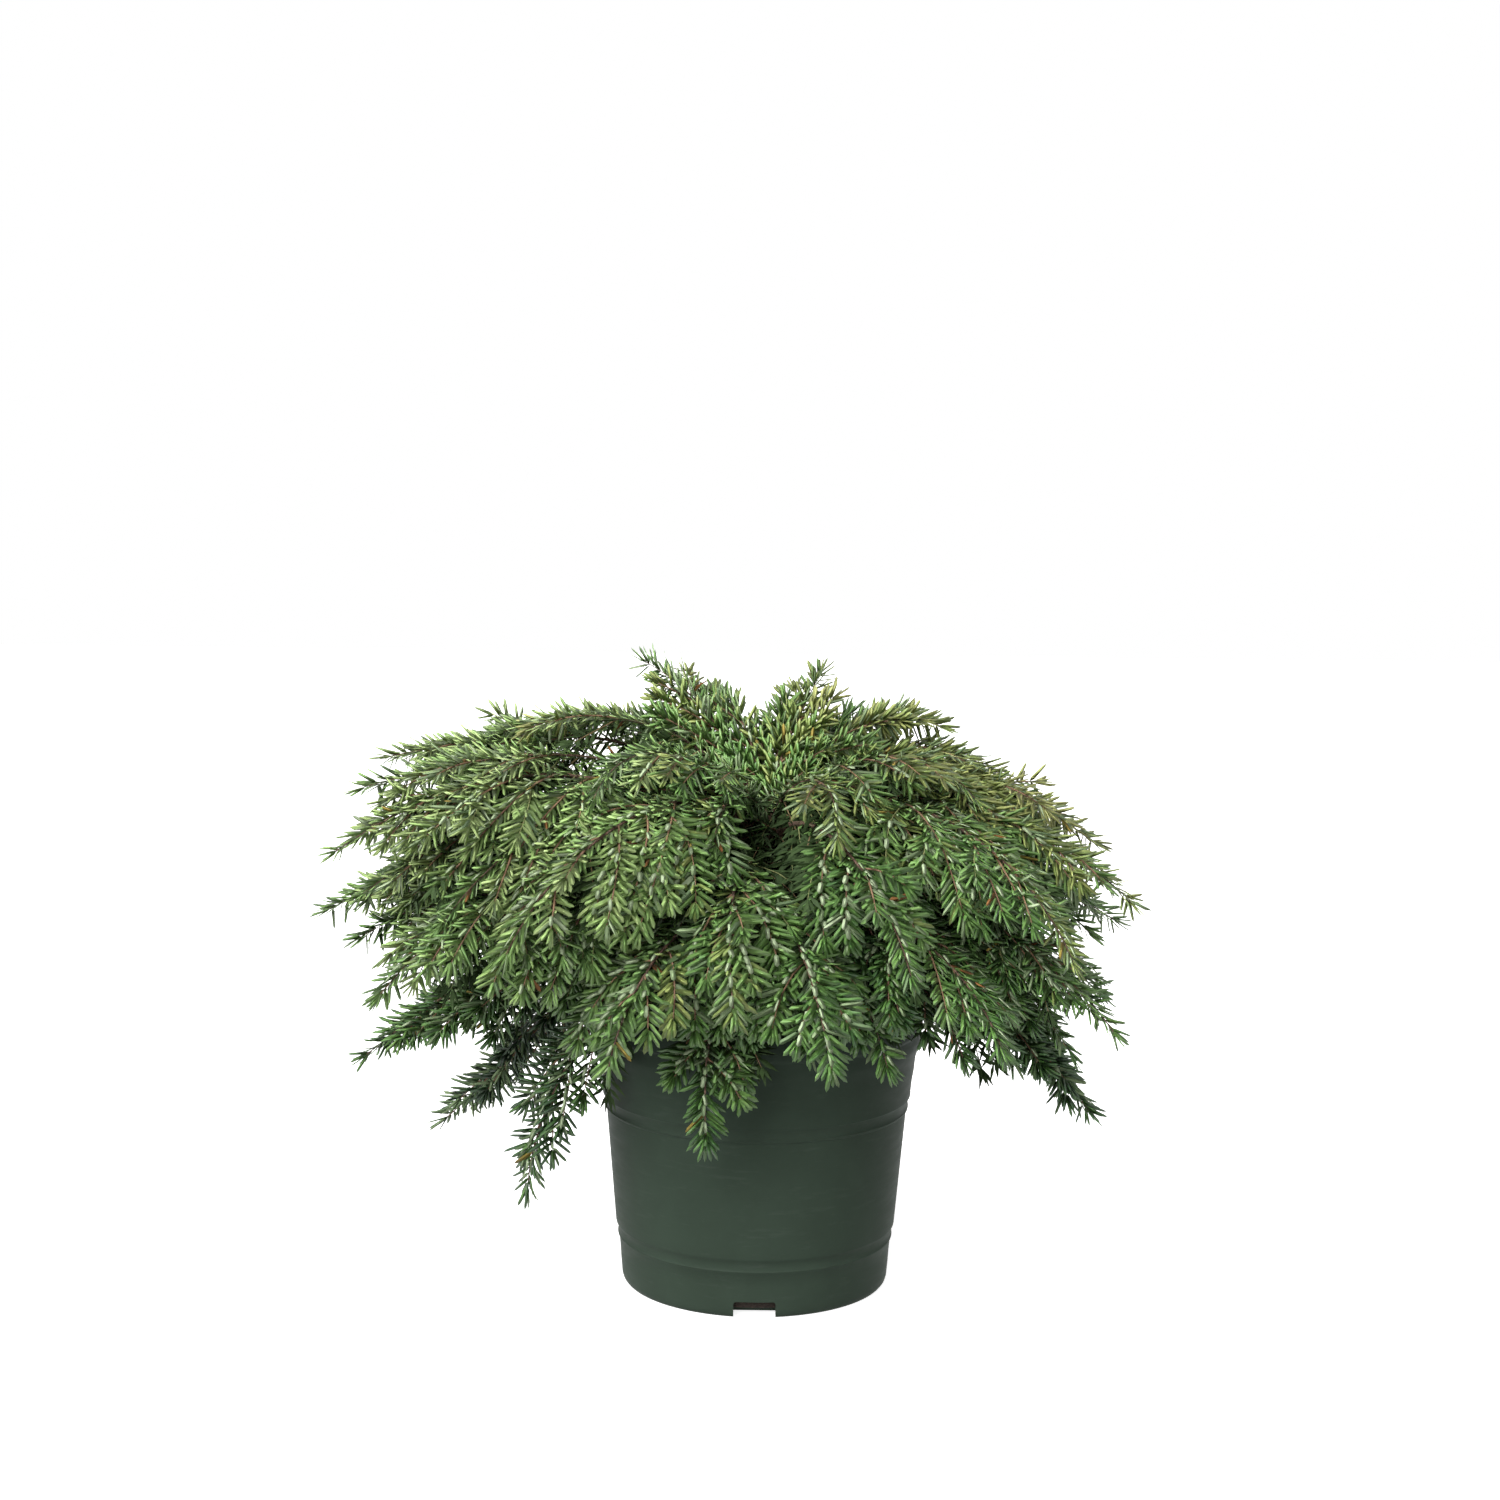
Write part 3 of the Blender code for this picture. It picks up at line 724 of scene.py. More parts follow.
def tone_of(shoot, chance):
    """Where a spray sits gives its green, as painted light and shade: olive and lighter on top and on the left,
    where light falls, bright in front, deep below and inside, where shade falls.
    """
    middle = shoot.points[len(shoot.points) // 2]
    x, y, z = middle
    r = math.hypot(x, y)
    height = (z - 0.10) / 0.24
    # painted light and shade: lighter higher up, further out and towards the front, darker low and inside
    tone = 1.5 + 6.2 * height
    tone += 1.6 * np.clip((r - 0.10) / 0.12, -1, 1)
    tone += 0.7 * np.clip(-y / 0.16, -1, 1)
    # painted shade under the left masses, low on the right and at the front right; painted light high up, on the
    # left, in the left of the crown and at the front left
    tone -= 2.2 * np.clip(-x / 0.16, 0, 1) * np.clip((0.230 - z) / 0.05, 0, 1)
    tone -= 1.0 * np.clip((x - 0.09) / 0.08, 0, 1) * np.clip((0.250 - z) / 0.04, 0, 1)
    tone += 1.8 * np.clip((z - 0.250) / 0.03, 0, 1) * np.clip(0.5 + x / 0.06, 0, 1)
    left = np.clip((-x - 0.04) / 0.04, 0, 1) * np.clip((0.325 - z) / 0.02, 0, 1)
    tone = tone * (1 - left) + min(tone + 0.8 * np.clip((z - 0.225) / 0.03, 0, 1), 7.3) * left
    tone -= 1.2 * np.clip(x / 0.06, 0, 1) * np.clip(-y / 0.08, 0, 1)
    tone += 1.2 * np.clip((z - 0.300) / 0.02, 0, 1) * np.clip(-x / 0.03, 0, 1)
    tone += 0.8 * np.clip((-x - 0.03) / 0.05, 0, 1) * np.clip(-y / 0.06, 0, 1) * np.clip((z - 0.17) / 0.04, 0, 1)
    # within a mass the shoots near its tip catch the light and those further in don't
    tone += 1.1 * np.clip((r / (ROWS[shoot.plume][3] / 1000) - 0.68) / 0.28, -1, 1)
    # some limbs are a little fresher or older all over than their neighbours
    tone += 0.6 * math.sin(2.4 * shoot.plume + 0.9)
    # painted light and shade in front: the green is held below a cap that rises to the left, and is darker
    # towards the right
    front = np.clip((-y - 0.07) / 0.04, 0, 1) * np.clip((0.275 - z) / 0.02, 0, 1)
    tone = tone * (1 - front) + min(tone, 5.6 + 1.7 * np.clip((-x - 0.02) / 0.04, 0, 1)) * front
    tone -= 0.5 * front * np.clip((x + 0.05) / 0.04, 0, 1)
    return tone + chance.normal(0, 0.9)


def painted_left_light_of(shoot):
    """How far to the left and clear of the crown a shoot stands, from nought to one: where the painted light of
    the left goes.
    """
    x, y, z = shoot.points[len(shoot.points) // 2]
    across = np.clip((-x - 0.02) / 0.06, 0, 1) * np.clip((0.07 - y) / 0.06, 0, 1)
    foot = 0.19 - 0.035 * np.clip(-y / 0.08, 0, 1)
    return float(across * np.clip((0.335 - z) / 0.025, 0, 1) * np.clip((z - foot) / 0.05, 0, 1))


def needle_cloud(shoots, seed):
    """Corner points and colours of all needles of some shoots."""
    chance = np.random.default_rng(seed)
    rows, tops, unders = [], [], []
    by_spray, by_luck = {}, {}
    for shoot in shoots:
        s, at, heading, normal, size, wide, over = needle_rows(shoot, chance)
        longer, slimmer, blunt = needle_kind(shoot)
        rows.append((at, heading, normal, size * longer, wide * slimmer, np.full(len(s), blunt)))
        if shoot.spray not in by_spray:
            by_spray[shoot.spray] = tone_of(shoot, chance)
        tone = by_spray[shoot.spray] * 0.6 + tone_of(shoot, chance) * 0.4
        tone = tone + chance.normal(0, 0.55, len(s))
        top = np.clip(np.round(tone), 0, len(GREENS) - 1).astype(int)
        # painted light: shoots on the left get the lighter greens
        if painted_left_light_of(shoot) > by_luck.setdefault(shoot.spray, chance.uniform(0.15, 0.85)):
            painted_left_light = FIRST_PAINTED_LEFT_LIGHT + np.clip(np.round(tone * 0.8 - 3.6), 0, len(PAINTED_LEFT_LIGHT) - 1).astype(int)
            top = np.where(top > 3, painted_left_light, top)
        # the undersides' paleness follows the tone, so it carries the same painted light and shade; turned-over
        # needles are paler
        pale = 0.2 + tone / 9 + chance.normal(0, 0.45, len(s)) + np.where(over, 1.1, 0.0)
        pale = np.clip(np.round(pale), 0, 2).astype(int)
        under = FIRST_UNDER + pale
        odd = chance.uniform(size=len(s)) < np.where(s < 0.007, 0.035, 0.006)
        tint = FIRST_TINT + (chance.uniform(size=len(s)) < 0.4).astype(int)
        top = np.where(odd & (tone > 2.5), tint, top)
        # painted shade: needles in the shade are dark above and below
        if shoot.shaded:
            top = FIRST_SHADE + (chance.uniform(size=len(s)) < 0.5).astype(int)
            under = top
        tops.append(top)
        unders.append(under)
    at, heading, normal, size, wide, blunt = (np.concatenate(c) for c in zip(*rows))
    tops, unders = np.concatenate(tops), np.concatenate(unders)
    count = len(at)
    across = np.cross(heading, normal)
    bend = chance.normal(0.02, 0.075, count) * size
    sway = chance.normal(0.0, 0.05, count) * size
    corners = np.empty((count, CORNERS, 3))
    corners[:, 0] = at
    corners[:, 5] = at + heading * size[:, None] - normal * bend[:, None] + across * sway[:, None]
    for k, (t, w) in enumerate(zip(STATIONS, (np.full(count, FOOT_WIDTH), blunt))):
        middle = (
            at
            + heading * (size * t)[:, None]
            - normal * (bend * t * t)[:, None]
            + across * (sway * t * t)[:, None]
        )
        half = across * (wide * w * 0.5)[:, None]
        middle = middle - normal * (wide * 0.07)[:, None]
        corners[:, 1 + 2 * k] = middle - half
        corners[:, 2 + 2 * k] = middle + half
    if shoots[0].shaded:
        corners = corners[:, [0, 1, 2, 5]]
        for k, way in ((1, -1), (2, 1)):
            corners[:, k] = (
                at
                + heading * (size * 0.45)[:, None]
                + across * (way * wide * 0.45)[:, None]
                - normal * (wide * 0.2)[:, None]
            )
    return corners, tops, unders


def faces_mesh(name, corners, starts, loops, slots, materials):
    """A mesh straight from arrays."""
    mesh = bpy.data.meshes.new(name)
    mesh.vertices.add(len(corners))
    mesh.vertices.foreach_set("co", corners.astype(np.float32).ravel())
    mesh.loops.add(len(loops))
    mesh.loops.foreach_set("vertex_index", loops.astype(np.int32))
    mesh.polygons.add(len(starts))
    mesh.polygons.foreach_set("loop_start", starts.astype(np.int32))
    for material in materials:
        mesh.materials.append(material)
    mesh.polygons.foreach_set("material_index", slots.astype(np.int32))
    mesh.update(calc_edges=True)
    mesh.validate()
    made = bpy.data.objects.new(name, mesh)
    bpy.context.scene.collection.objects.link(made)
    return made


def needle_piece(name, shoots, seed):
    corners, tops, unders = needle_cloud(shoots, seed)
    count, points = corners.shape[:2]
    above, below = (SHADE_TOP, SHADE_UNDER) if shoots[0].shaded else (TOP_FACES, UNDER_FACES)
    faces = above + below
    sizes = np.array([len(f) for f in faces])
    template = np.concatenate([np.array(f) for f in faces])
    loops = (template[None, :] + points * np.arange(count)[:, None]).ravel()
    per = int(sizes.sum())
    offsets = np.concatenate([[0], np.cumsum(sizes)[:-1]])
    starts = (offsets[None, :] + per * np.arange(count)[:, None]).ravel()
    slots = np.empty((count, len(faces)), int)
    slots[:, : len(above)] = tops[:, None]
    slots[:, len(above) :] = unders[:, None]
    piece = faces_mesh(name, corners.reshape(-1, 3), starts, loops, slots.ravel(), needle_materials)
    print(name, count, "needles", count * sum(len(f) - 2 for f in faces), "triangles")
    return piece


# ------------------------------------------------------------------ twigs
TWIG_COLOURS = (
    (0.180, 0.100, 0.058),
    (0.240, 0.140, 0.078),
    (0.290, 0.200, 0.100),
    (0.220, 0.240, 0.090),
)
twig_materials = [plain(f"twig_{i}", c, 0.75) for i, c in enumerate(TWIG_COLOURS)]


def tube(points, ups, radii, sides):
    """Ring points of a tube round a line."""
    ahead = headings(points)
    across = unit(np.cross(ahead, ups))
    over = np.cross(across, ahead)
    turn = np.linspace(0, 2 * math.pi, sides, endpoint=False)
    ring = (
        np.cos(turn)[None, :, None] * across[:, None, :]
        + np.sin(turn)[None, :, None] * over[:, None, :]
    )
    return points[:, None, :] + ring * radii[:, None, None] if np.ndim(radii) == 1 else points[:, None, :] + ring * radii[:, :, None]


def tube_faces(rings, sides, start):
    ring = np.arange(sides)
    after = (ring + 1) % sides
    base = start + sides * np.arange(rings - 1)[:, None]
    quads = np.stack(
        [base + ring, base + after, base + sides + after, base + sides + ring], axis=-1
    )
    return quads.reshape(-1, 4)


def twig_piece(name, shoots, seed):
    chance = np.random.default_rng(seed)
    corners, quads, slots = [], [], []
    total = 0
    for shoot in shoots:
        if shoot.order == 0:
            continue
        sides = 4 if shoot.order == 1 else 3
        count = int(np.clip(round(shoot.length / 0.0080), 3, 12))
        points = resampled(shoot.points, count)
        ups = carried(points, shoot.ups[0])
        t = np.linspace(0, 1, count)
        radii = 0.80 * shoot.thick * (1 - 0.5 * t) * (1 + 0.08 * chance.normal(size=count))
        radii[-1] *= 0.6
        rings = tube(points, ups, radii, sides)
        corners.append(rings.reshape(-1, 3))
        made = tube_faces(count, sides, total)
        quads.append(made)
        if shoot.order == 1:
            slot = 1 if chance.uniform() < 0.6 else 0
        else:
            slot = int(chance.choice([1, 2, 3], p=[0.12, 0.34, 0.54]))
        slots.append(np.full(len(made), slot))
        total += count * sides
    corners, quads, slots = np.concatenate(corners), np.concatenate(quads), np.concatenate(slots)
    piece = faces_mesh(
        name, corners, 4 * np.arange(len(quads)), quads.ravel(), slots, twig_materials
    )
    piece.data.shade_smooth()
    print(name, 2 * len(quads), "triangles")
    return piece


GROUPS = {
    "crown": [0, 1, 2, 3, 4] + [len(PLUMES) + i for i in range(len(NEST))],
    "upper_left": [5, 6, 7, 8, 13],
    "upper_right": [9, 10, 11, 12],
    "middle_left": [14, 15, 16, 17, 22],
    "middle_right": [18, 19, 20, 21],
    "lower": [i for i, row in enumerate(PLUMES) if row[0].startswith("lower")],
}
for number, (group, members) in enumerate(GROUPS.items()):
    shoots = [shoot for i in members for shoot in plumes[i]]
    needles = needle_piece("needles_" + group, [s for s in shoots if not s.shaded], 300 + number)
    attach(needles, "root")
    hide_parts(*["foliage_" + PLUMES[i][0] for i in members if i < len(PLUMES)])
    shade = needle_piece("needles_shade_" + group, [s for s in shoots if s.shaded], 500 + number)
    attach(shade, "root")
    twigs = twig_piece("twigs_" + group, shoots, 400 + number)
    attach(twigs, "root")


# ------------------------------------------------------------------ materials with nodes
def noded(name):
    made = bpy.data.materials.new(name)
    made.use_nodes = True
    tree = made.node_tree
    return made, tree, tree.nodes["Principled BSDF"]


def node(tree, kind, **values):
    made = tree.nodes.new(kind)
    for key, value in values.items():
        if key in made.inputs.keys():
            made.inputs[key].default_value = value
        else:
            setattr(made, key, value)
    return made


def ramp(tree, source, stops):
    made = tree.nodes.new("ShaderNodeValToRGB")
    tree.links.new(source, made.inputs["Fac"])
    while len(made.color_ramp.elements) < len(stops):
        made.color_ramp.elements.new(0.5)
    for element, (at, colour) in zip(made.color_ramp.elements, stops):
        element.position = at
        element.color = (*colour, 1.0) if len(colour) == 3 else colour
    return made


def bark_material():
    made, tree, bsdf = noded("bark")
    place = tree.nodes.new("ShaderNodeTexCoord")
    stretch = tree.nodes.new("ShaderNodeMapping")
    stretch.inputs["Scale"].default_value = (1.0, 1.0, 0.35)
    tree.links.new(place.outputs["Object"], stretch.inputs["Vector"])
    plates = node(tree, "ShaderNodeTexVoronoi", Scale=420.0)
    plates.feature = "DISTANCE_TO_EDGE"
    grain = node(tree, "ShaderNodeTexNoise", Scale=900.0, Detail=6.0)
    tree.links.new(stretch.outputs["Vector"], plates.inputs["Vector"])
    tree.links.new(stretch.outputs["Vector"], grain.inputs["Vector"])
    colour = ramp(
        tree,
        grain.outputs["Fac"],
        [(0.30, (0.060, 0.032, 0.022)), (0.52, (0.135, 0.076, 0.048)), (0.74, (0.235, 0.165, 0.120))],
    )
    dark = ramp(tree, plates.outputs["Distance"], [(0.0, (0.35, 0.35, 0.35)), (0.16, (1, 1, 1))])
    mixed = tree.nodes.new("ShaderNodeMix")
    mixed.data_type = "RGBA"
    mixed.blend_type = "MULTIPLY"
    mixed.inputs["Factor"].default_value = 0.8
    tree.links.new(colour.outputs["Color"], mixed.inputs["A"])
    tree.links.new(dark.outputs["Color"], mixed.inputs["B"])
    tree.links.new(mixed.outputs["Result"], bsdf.inputs["Base Color"])
    bump = node(tree, "ShaderNodeBump", Strength=0.5, Distance=0.0006)
    tree.links.new(grain.outputs["Fac"], bump.inputs["Height"])
    tree.links.new(bump.outputs["Normal"], bsdf.inputs["Normal"])
    bsdf.inputs["Roughness"].default_value = 0.85
    return made


# ------------------------------------------------------------------ bark of trunk and limbs
def fold(x, y, z, scale):
    return noise.noise(Vector((x * scale, y * scale, z * scale)))


def bark_piece():
    corners, quads = [], []
    total = 0

    def add(points, ups, radii, sides, cap=False):
        nonlocal total
        rings = tube(points, ups, radii, sides)
        corners.append(rings.reshape(-1, 3))
        quads.append(tube_faces(len(points), sides, total))
        total += len(points) * sides

    zs = np.concatenate([np.linspace(SOIL_TOP - 0.004, SOIL_TOP + 0.02, 30), np.linspace(SOIL_TOP + 0.0215, TRUNK_TOP, 76)])
    points = np.array([trunk_axis(z) for z in zs])
    sides = 44
    turn = np.linspace(0, 2 * math.pi, sides, endpoint=False)
    radii = np.empty((len(zs), sides))
    for i, z in enumerate(zs):
        up = (z - SOIL_TOP) / (TRUNK_TOP - SOIL_TOP)
        for j, a in enumerate(turn):
            lobes = 1 + 0.16 * math.exp(-max(up, 0) / 0.05) * math.cos(4 * a + 0.7)
            x, y = math.cos(a), math.sin(a)
            ridge = fold(x * 5, y * 5, z * 110, 1.0)
            flake = fold(x * 11, y * 11, z * 300, 1.0)
            crack = -abs(fold(x * 3.2, y * 3.2, z * 55 + 9, 1.0))
            relief = 1 + 0.055 * ridge + 0.04 * flake + 0.10 * crack
            radii[i, j] = trunk_radius(z) * lobes * relief
    add(points, np.tile(np.array([0.0, 1.0, 0.0]), (len(zs), 1)), radii, sides)

    for index, shoots in enumerate(plumes):
        limb = shoots[0]
        chance = np.random.default_rng(900 + index)
        count = int(limb.length / 0.0024)
        points = resampled(limb.points, count)
        ups = carried(points, limb.ups[0])
        t = np.linspace(0, 1, count)
        radius = np.interp(t, [0, 0.15, 0.32, 0.6, 1.0], [1.25, 0.95, 0.45, 0.28, 0.14]) * BOUGH_R
        if limb.length < 0.15 or index >= len(PLUMES):
            radius *= 0.65
        sides = 9
        rough = 1 + 0.07 * chance.normal(size=(count, sides))
        knots = np.zeros(count)
        for branch in shoots:
            if branch.order == 1:
                s = np.linalg.norm(points - branch.points[0], axis=1).argmin()
                knots[max(s - 1, 0) : s + 2] = 0.22
        radii = radius[:, None] * (rough + knots[:, None])
        add(points, ups, radii, sides)

    corners, quads = np.concatenate(corners), np.concatenate(quads)
    piece = faces_mesh(
        "bark",
        corners,
        4 * np.arange(len(quads)),
        quads.ravel(),
        np.zeros(len(quads)),
        [bark_material()],
    )
    piece.data.shade_smooth()
    print("bark", 2 * len(quads), "triangles")
    return piece


bark = bark_piece()
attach(bark, "root")
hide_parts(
    "trunk",
    *[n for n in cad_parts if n.startswith("bough_")],
)


# ------------------------------------------------------------------ the pot
def taper(z):
    top = POT_TOP_R - 0.0062
    return POT_FOOT_R + (top - POT_FOOT_R) * z / (POT_H - 0.046)


def pot_line():
    """(r, z) from the middle of the floor inside, over the rim, down to the middle below."""
    band = POT_H - RIM_BAND_H
    inner = [
        (0.0, BASE_THICK),
        (POT_FOOT_R - WALL - 0.006, BASE_THICK),
        (POT_FOOT_R - WALL - 0.0025, BASE_THICK + 0.001),
        (POT_FOOT_R - WALL - 0.0012, BASE_THICK + 0.004),
    ]
    for z in np.linspace(0.030, 0.105, 5):
        inner.append((taper(z) - 0.0012 - WALL, z))
    inner += [
        (POT_TOP_R - 0.0038 - WALL, band - 0.016),
        (POT_TOP_R - WALL, band),
        (POT_TOP_R - WALL, POT_H - 0.0012),
        (POT_TOP_R - WALL + 0.0004, POT_H - 0.0003),
        (POT_TOP_R - WALL + 0.0009, POT_H),
    ]
    outer = [
        (POT_TOP_R - 0.0007, POT_H),
        (POT_TOP_R - 0.0001, POT_H - 0.0005),
        (POT_TOP_R, POT_H - 0.0013),
        (POT_TOP_R - 0.0001, POT_H - 0.006),
        (POT_TOP_R - 0.0002, band + 0.0012),
        (POT_TOP_R - 0.0005, band + 0.0003),
        (POT_TOP_R - 0.0011, band - 0.0002),
        (POT_TOP_R - 0.0014, band - 0.0012),
        (POT_TOP_R - 0.0014, band - 0.0040),
        (POT_TOP_R - 0.0015, band - 0.0078),
        (POT_TOP_R - 0.0020, band - 0.0096),
        (POT_TOP_R - 0.0030, band - 0.0128),
        (POT_TOP_R - 0.0037, band - 0.0150),
        (POT_TOP_R - 0.0041, band - 0.0180),
        (POT_TOP_R - 0.0047, 0.1230),
    ]
    steps = np.linspace(0.1180, 0.1106, 3)
    outer += [(taper(z) + 0.0002, z) for z in steps]
    outer += [
        (taper(0.1095) + 0.0004, 0.1095),
        (taper(0.1087) + 0.0004, 0.1087),
        (taper(0.1079) - 0.0003, 0.1079),
        (taper(0.1050) - 0.0006, 0.1050),
        (taper(0.1026) - 0.0006, 0.1026),
        (taper(0.1019) - 0.0001, 0.1019),
        (taper(0.1011) - 0.0002, 0.1011),
        (taper(0.1003) - 0.0010, 0.1003),
    ]
    outer += [(taper(z) - 0.0010 + 0.0010 * (0.1 - z) / 0.06, z) for z in np.linspace(0.096, 0.040, 8)]
    outer += [
        (taper(0.0345) + 0.0001, 0.0345),
        (taper(0.0336) + 0.0000, 0.0336),
        (taper(0.0328) - 0.0007, 0.0328),
        (taper(0.0300) - 0.0008, 0.0300),
        (taper(0.0278) - 0.0008, 0.0278),
        (taper(0.0270) - 0.0003, 0.0270),
        (taper(0.0262) - 0.0004, 0.0262),
        (taper(0.0254) - 0.0010, 0.0254),
        (taper(0.0180) - 0.0009, 0.0180),
        (taper(0.0110) - 0.0006, 0.0110),
        (POT_FOOT_R + 0.0001, 0.0060),
        (POT_FOOT_R - 0.0001, 0.0036),
        (POT_FOOT_R - 0.0007, 0.0017),
        (POT_FOOT_R - 0.0017, 0.0005),
        (POT_FOOT_R - 0.0030, 0.0),
        (POT_FOOT_R - 0.0075, 0.0),
        (POT_FOOT_R - 0.0090, 0.0012),
        (0.030, 0.0014),
        (0.0, 0.0014),
    ]
    return inner + outer


def plastic():
    made, tree, bsdf = noded("pot_plastic")
    place = tree.nodes.new("ShaderNodeTexCoord")
    bands = tree.nodes.new("ShaderNodeMapping")
    bands.inputs["Scale"].default_value = (1.0, 1.0, 6.0)
    tree.links.new(place.outputs["Object"], bands.inputs["Vector"])
    cloud = node(tree, "ShaderNodeTexNoise", Scale=14.0, Detail=5.0, Roughness=0.6)
    tree.links.new(place.outputs["Object"], cloud.inputs["Vector"])
    wipe = node(tree, "ShaderNodeTexNoise", Scale=46.0, Detail=7.0, Roughness=0.65)
    tree.links.new(bands.outputs["Vector"], wipe.inputs["Vector"])
    speck = node(tree, "ShaderNodeTexNoise", Scale=900.0, Detail=2.0)
    tree.links.new(place.outputs["Object"], speck.inputs["Vector"])
    colour = ramp(
        tree,
        cloud.outputs["Fac"],
        [(0.32, (0.0325, 0.0480, 0.0345)), (0.68, (0.0420, 0.0620, 0.0450))],
    )
    dust = ramp(tree, wipe.outputs["Fac"], [(0.56, (0, 0, 0)), (0.80, (0.30, 0.30, 0.30))])
    mixed = tree.nodes.new("ShaderNodeMix")
    mixed.data_type = "RGBA"
    tree.links.new(dust.outputs["Color"], mixed.inputs["Factor"])
    tree.links.new(colour.outputs["Color"], mixed.inputs["A"])
    mixed.inputs["B"].default_value = (0.085, 0.100, 0.088, 1.0)
    tree.links.new(mixed.outputs["Result"], bsdf.inputs["Base Color"])
    rough = ramp(tree, wipe.outputs["Fac"], [(0.30, (0.46, 0.46, 0.46)), (0.75, (0.60, 0.60, 0.60))])
    tree.links.new(rough.outputs["Color"], bsdf.inputs["Roughness"])
    bsdf.inputs["Specular IOR Level"].default_value = 0.06
    bump = node(tree, "ShaderNodeBump", Strength=0.12, Distance=0.0003)
    tree.links.new(speck.outputs["Fac"], bump.inputs["Height"])
    tree.links.new(bump.outputs["Normal"], bsdf.inputs["Normal"])
    return made


def turned(name, line, segments):
    shape = bmesh.new()
    rings = []
    turn = [2 * math.pi * i / segments for i in range(segments)]
    for r, z in line:
        if r < 1e-6:
            rings.append([shape.verts.new((0, 0, z))])
        else:
            rings.append([shape.verts.new((r * math.cos(a), r * math.sin(a), z)) for a in turn])
    for a, b in zip(rings[:-1], rings[1:]):
        for i in range(segments):
            j = (i + 1) % segments
            if len(a) == 1:
                shape.faces.new((a[0], b[i], b[j]))
            elif len(b) == 1:
                shape.faces.new((a[i], b[0], a[j]))
            else:
                shape.faces.new((a[i], b[i], b[j], a[j]))
    bmesh.ops.recalc_face_normals(shape, faces=shape.faces)
    mesh = bpy.data.meshes.new(name)
    shape.to_mesh(mesh)
    shape.free()
    made = bpy.data.objects.new(name, mesh)
    bpy.context.scene.collection.objects.link(made)
    return made


def slot_cutter(azimuth):
    """A rounded block through the wall's foot."""
    shape = bmesh.new()
    bmesh.ops.create_cube(shape, size=1.0)
    for v in shape.verts:
        v.co.x *= 0.020
        v.co.y *= SLOT_W
        v.co.z *= SLOT_H + 0.004
    upright = [
        e
        for e in shape.edges
        if abs(e.verts[0].co.x - e.verts[1].co.x) > 0.01 and e.verts[0].co.z > 0
    ]
    bmesh.ops.bevel(shape, geom=upright, offset=0.0016, segments=4, profile=0.5, affect="EDGES")
    mesh = bpy.data.meshes.new("cutter")
    shape.to_mesh(mesh)
    shape.free()
    made = bpy.data.objects.new("cutter", mesh)
    bpy.context.scene.collection.objects.link(made)
    a = math.radians(azimuth)
    reach = 0.0745
    made.matrix_world = Matrix.Translation(
        (reach * math.cos(a), reach * math.sin(a), (SLOT_H - 0.004) / 2)
    ) @ Matrix.Rotation(a, 4, "Z")
    return made


pot = turned("pot_shell", pot_line(), 192)
pot.data.materials.append(plastic())
for azimuth in SLOT_AZIMUTHS:
    cutter = slot_cutter(azimuth)
    cut = pot.modifiers.new("slot", "BOOLEAN")
    cut.operation = "DIFFERENCE"
    cut.solver = "EXACT"
    cut.object = cutter
    bpy.context.view_layer.update()
    mesh = bpy.data.meshes.new_from_object(pot.evaluated_get(bpy.context.evaluated_depsgraph_get()))
    pot.modifiers.clear()
    pot.data = mesh
    bpy.data.objects.remove(cutter, do_unlink=True)
for face in pot.data.polygons:
    face.use_smooth = True
pot.data.set_sharp_from_angle(angle=math.radians(38))
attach(pot, "root")
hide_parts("pot")


# ------------------------------------------------------------------ the soil
def soil_material():
    made, tree, bsdf = noded("soil")
    place = tree.nodes.new("ShaderNodeTexCoord")
    grain = node(tree, "ShaderNodeTexNoise", Scale=420.0, Detail=8.0, Roughness=0.7)
    tree.links.new(place.outputs["Object"], grain.inputs["Vector"])
    colour = ramp(
        tree,
        grain.outputs["Fac"],
        [(0.30, (0.010, 0.007, 0.005)), (0.55, (0.030, 0.020, 0.014)), (0.78, (0.075, 0.050, 0.034))],
    )
    tree.links.new(colour.outputs["Color"], bsdf.inputs["Base Color"])
    bump = node(tree, "ShaderNodeBump", Strength=0.8, Distance=0.0012)
    tree.links.new(grain.outputs["Fac"], bump.inputs["Height"])
    tree.links.new(bump.outputs["Normal"], bsdf.inputs["Normal"])
    bsdf.inputs["Roughness"].default_value = 0.95
    return made


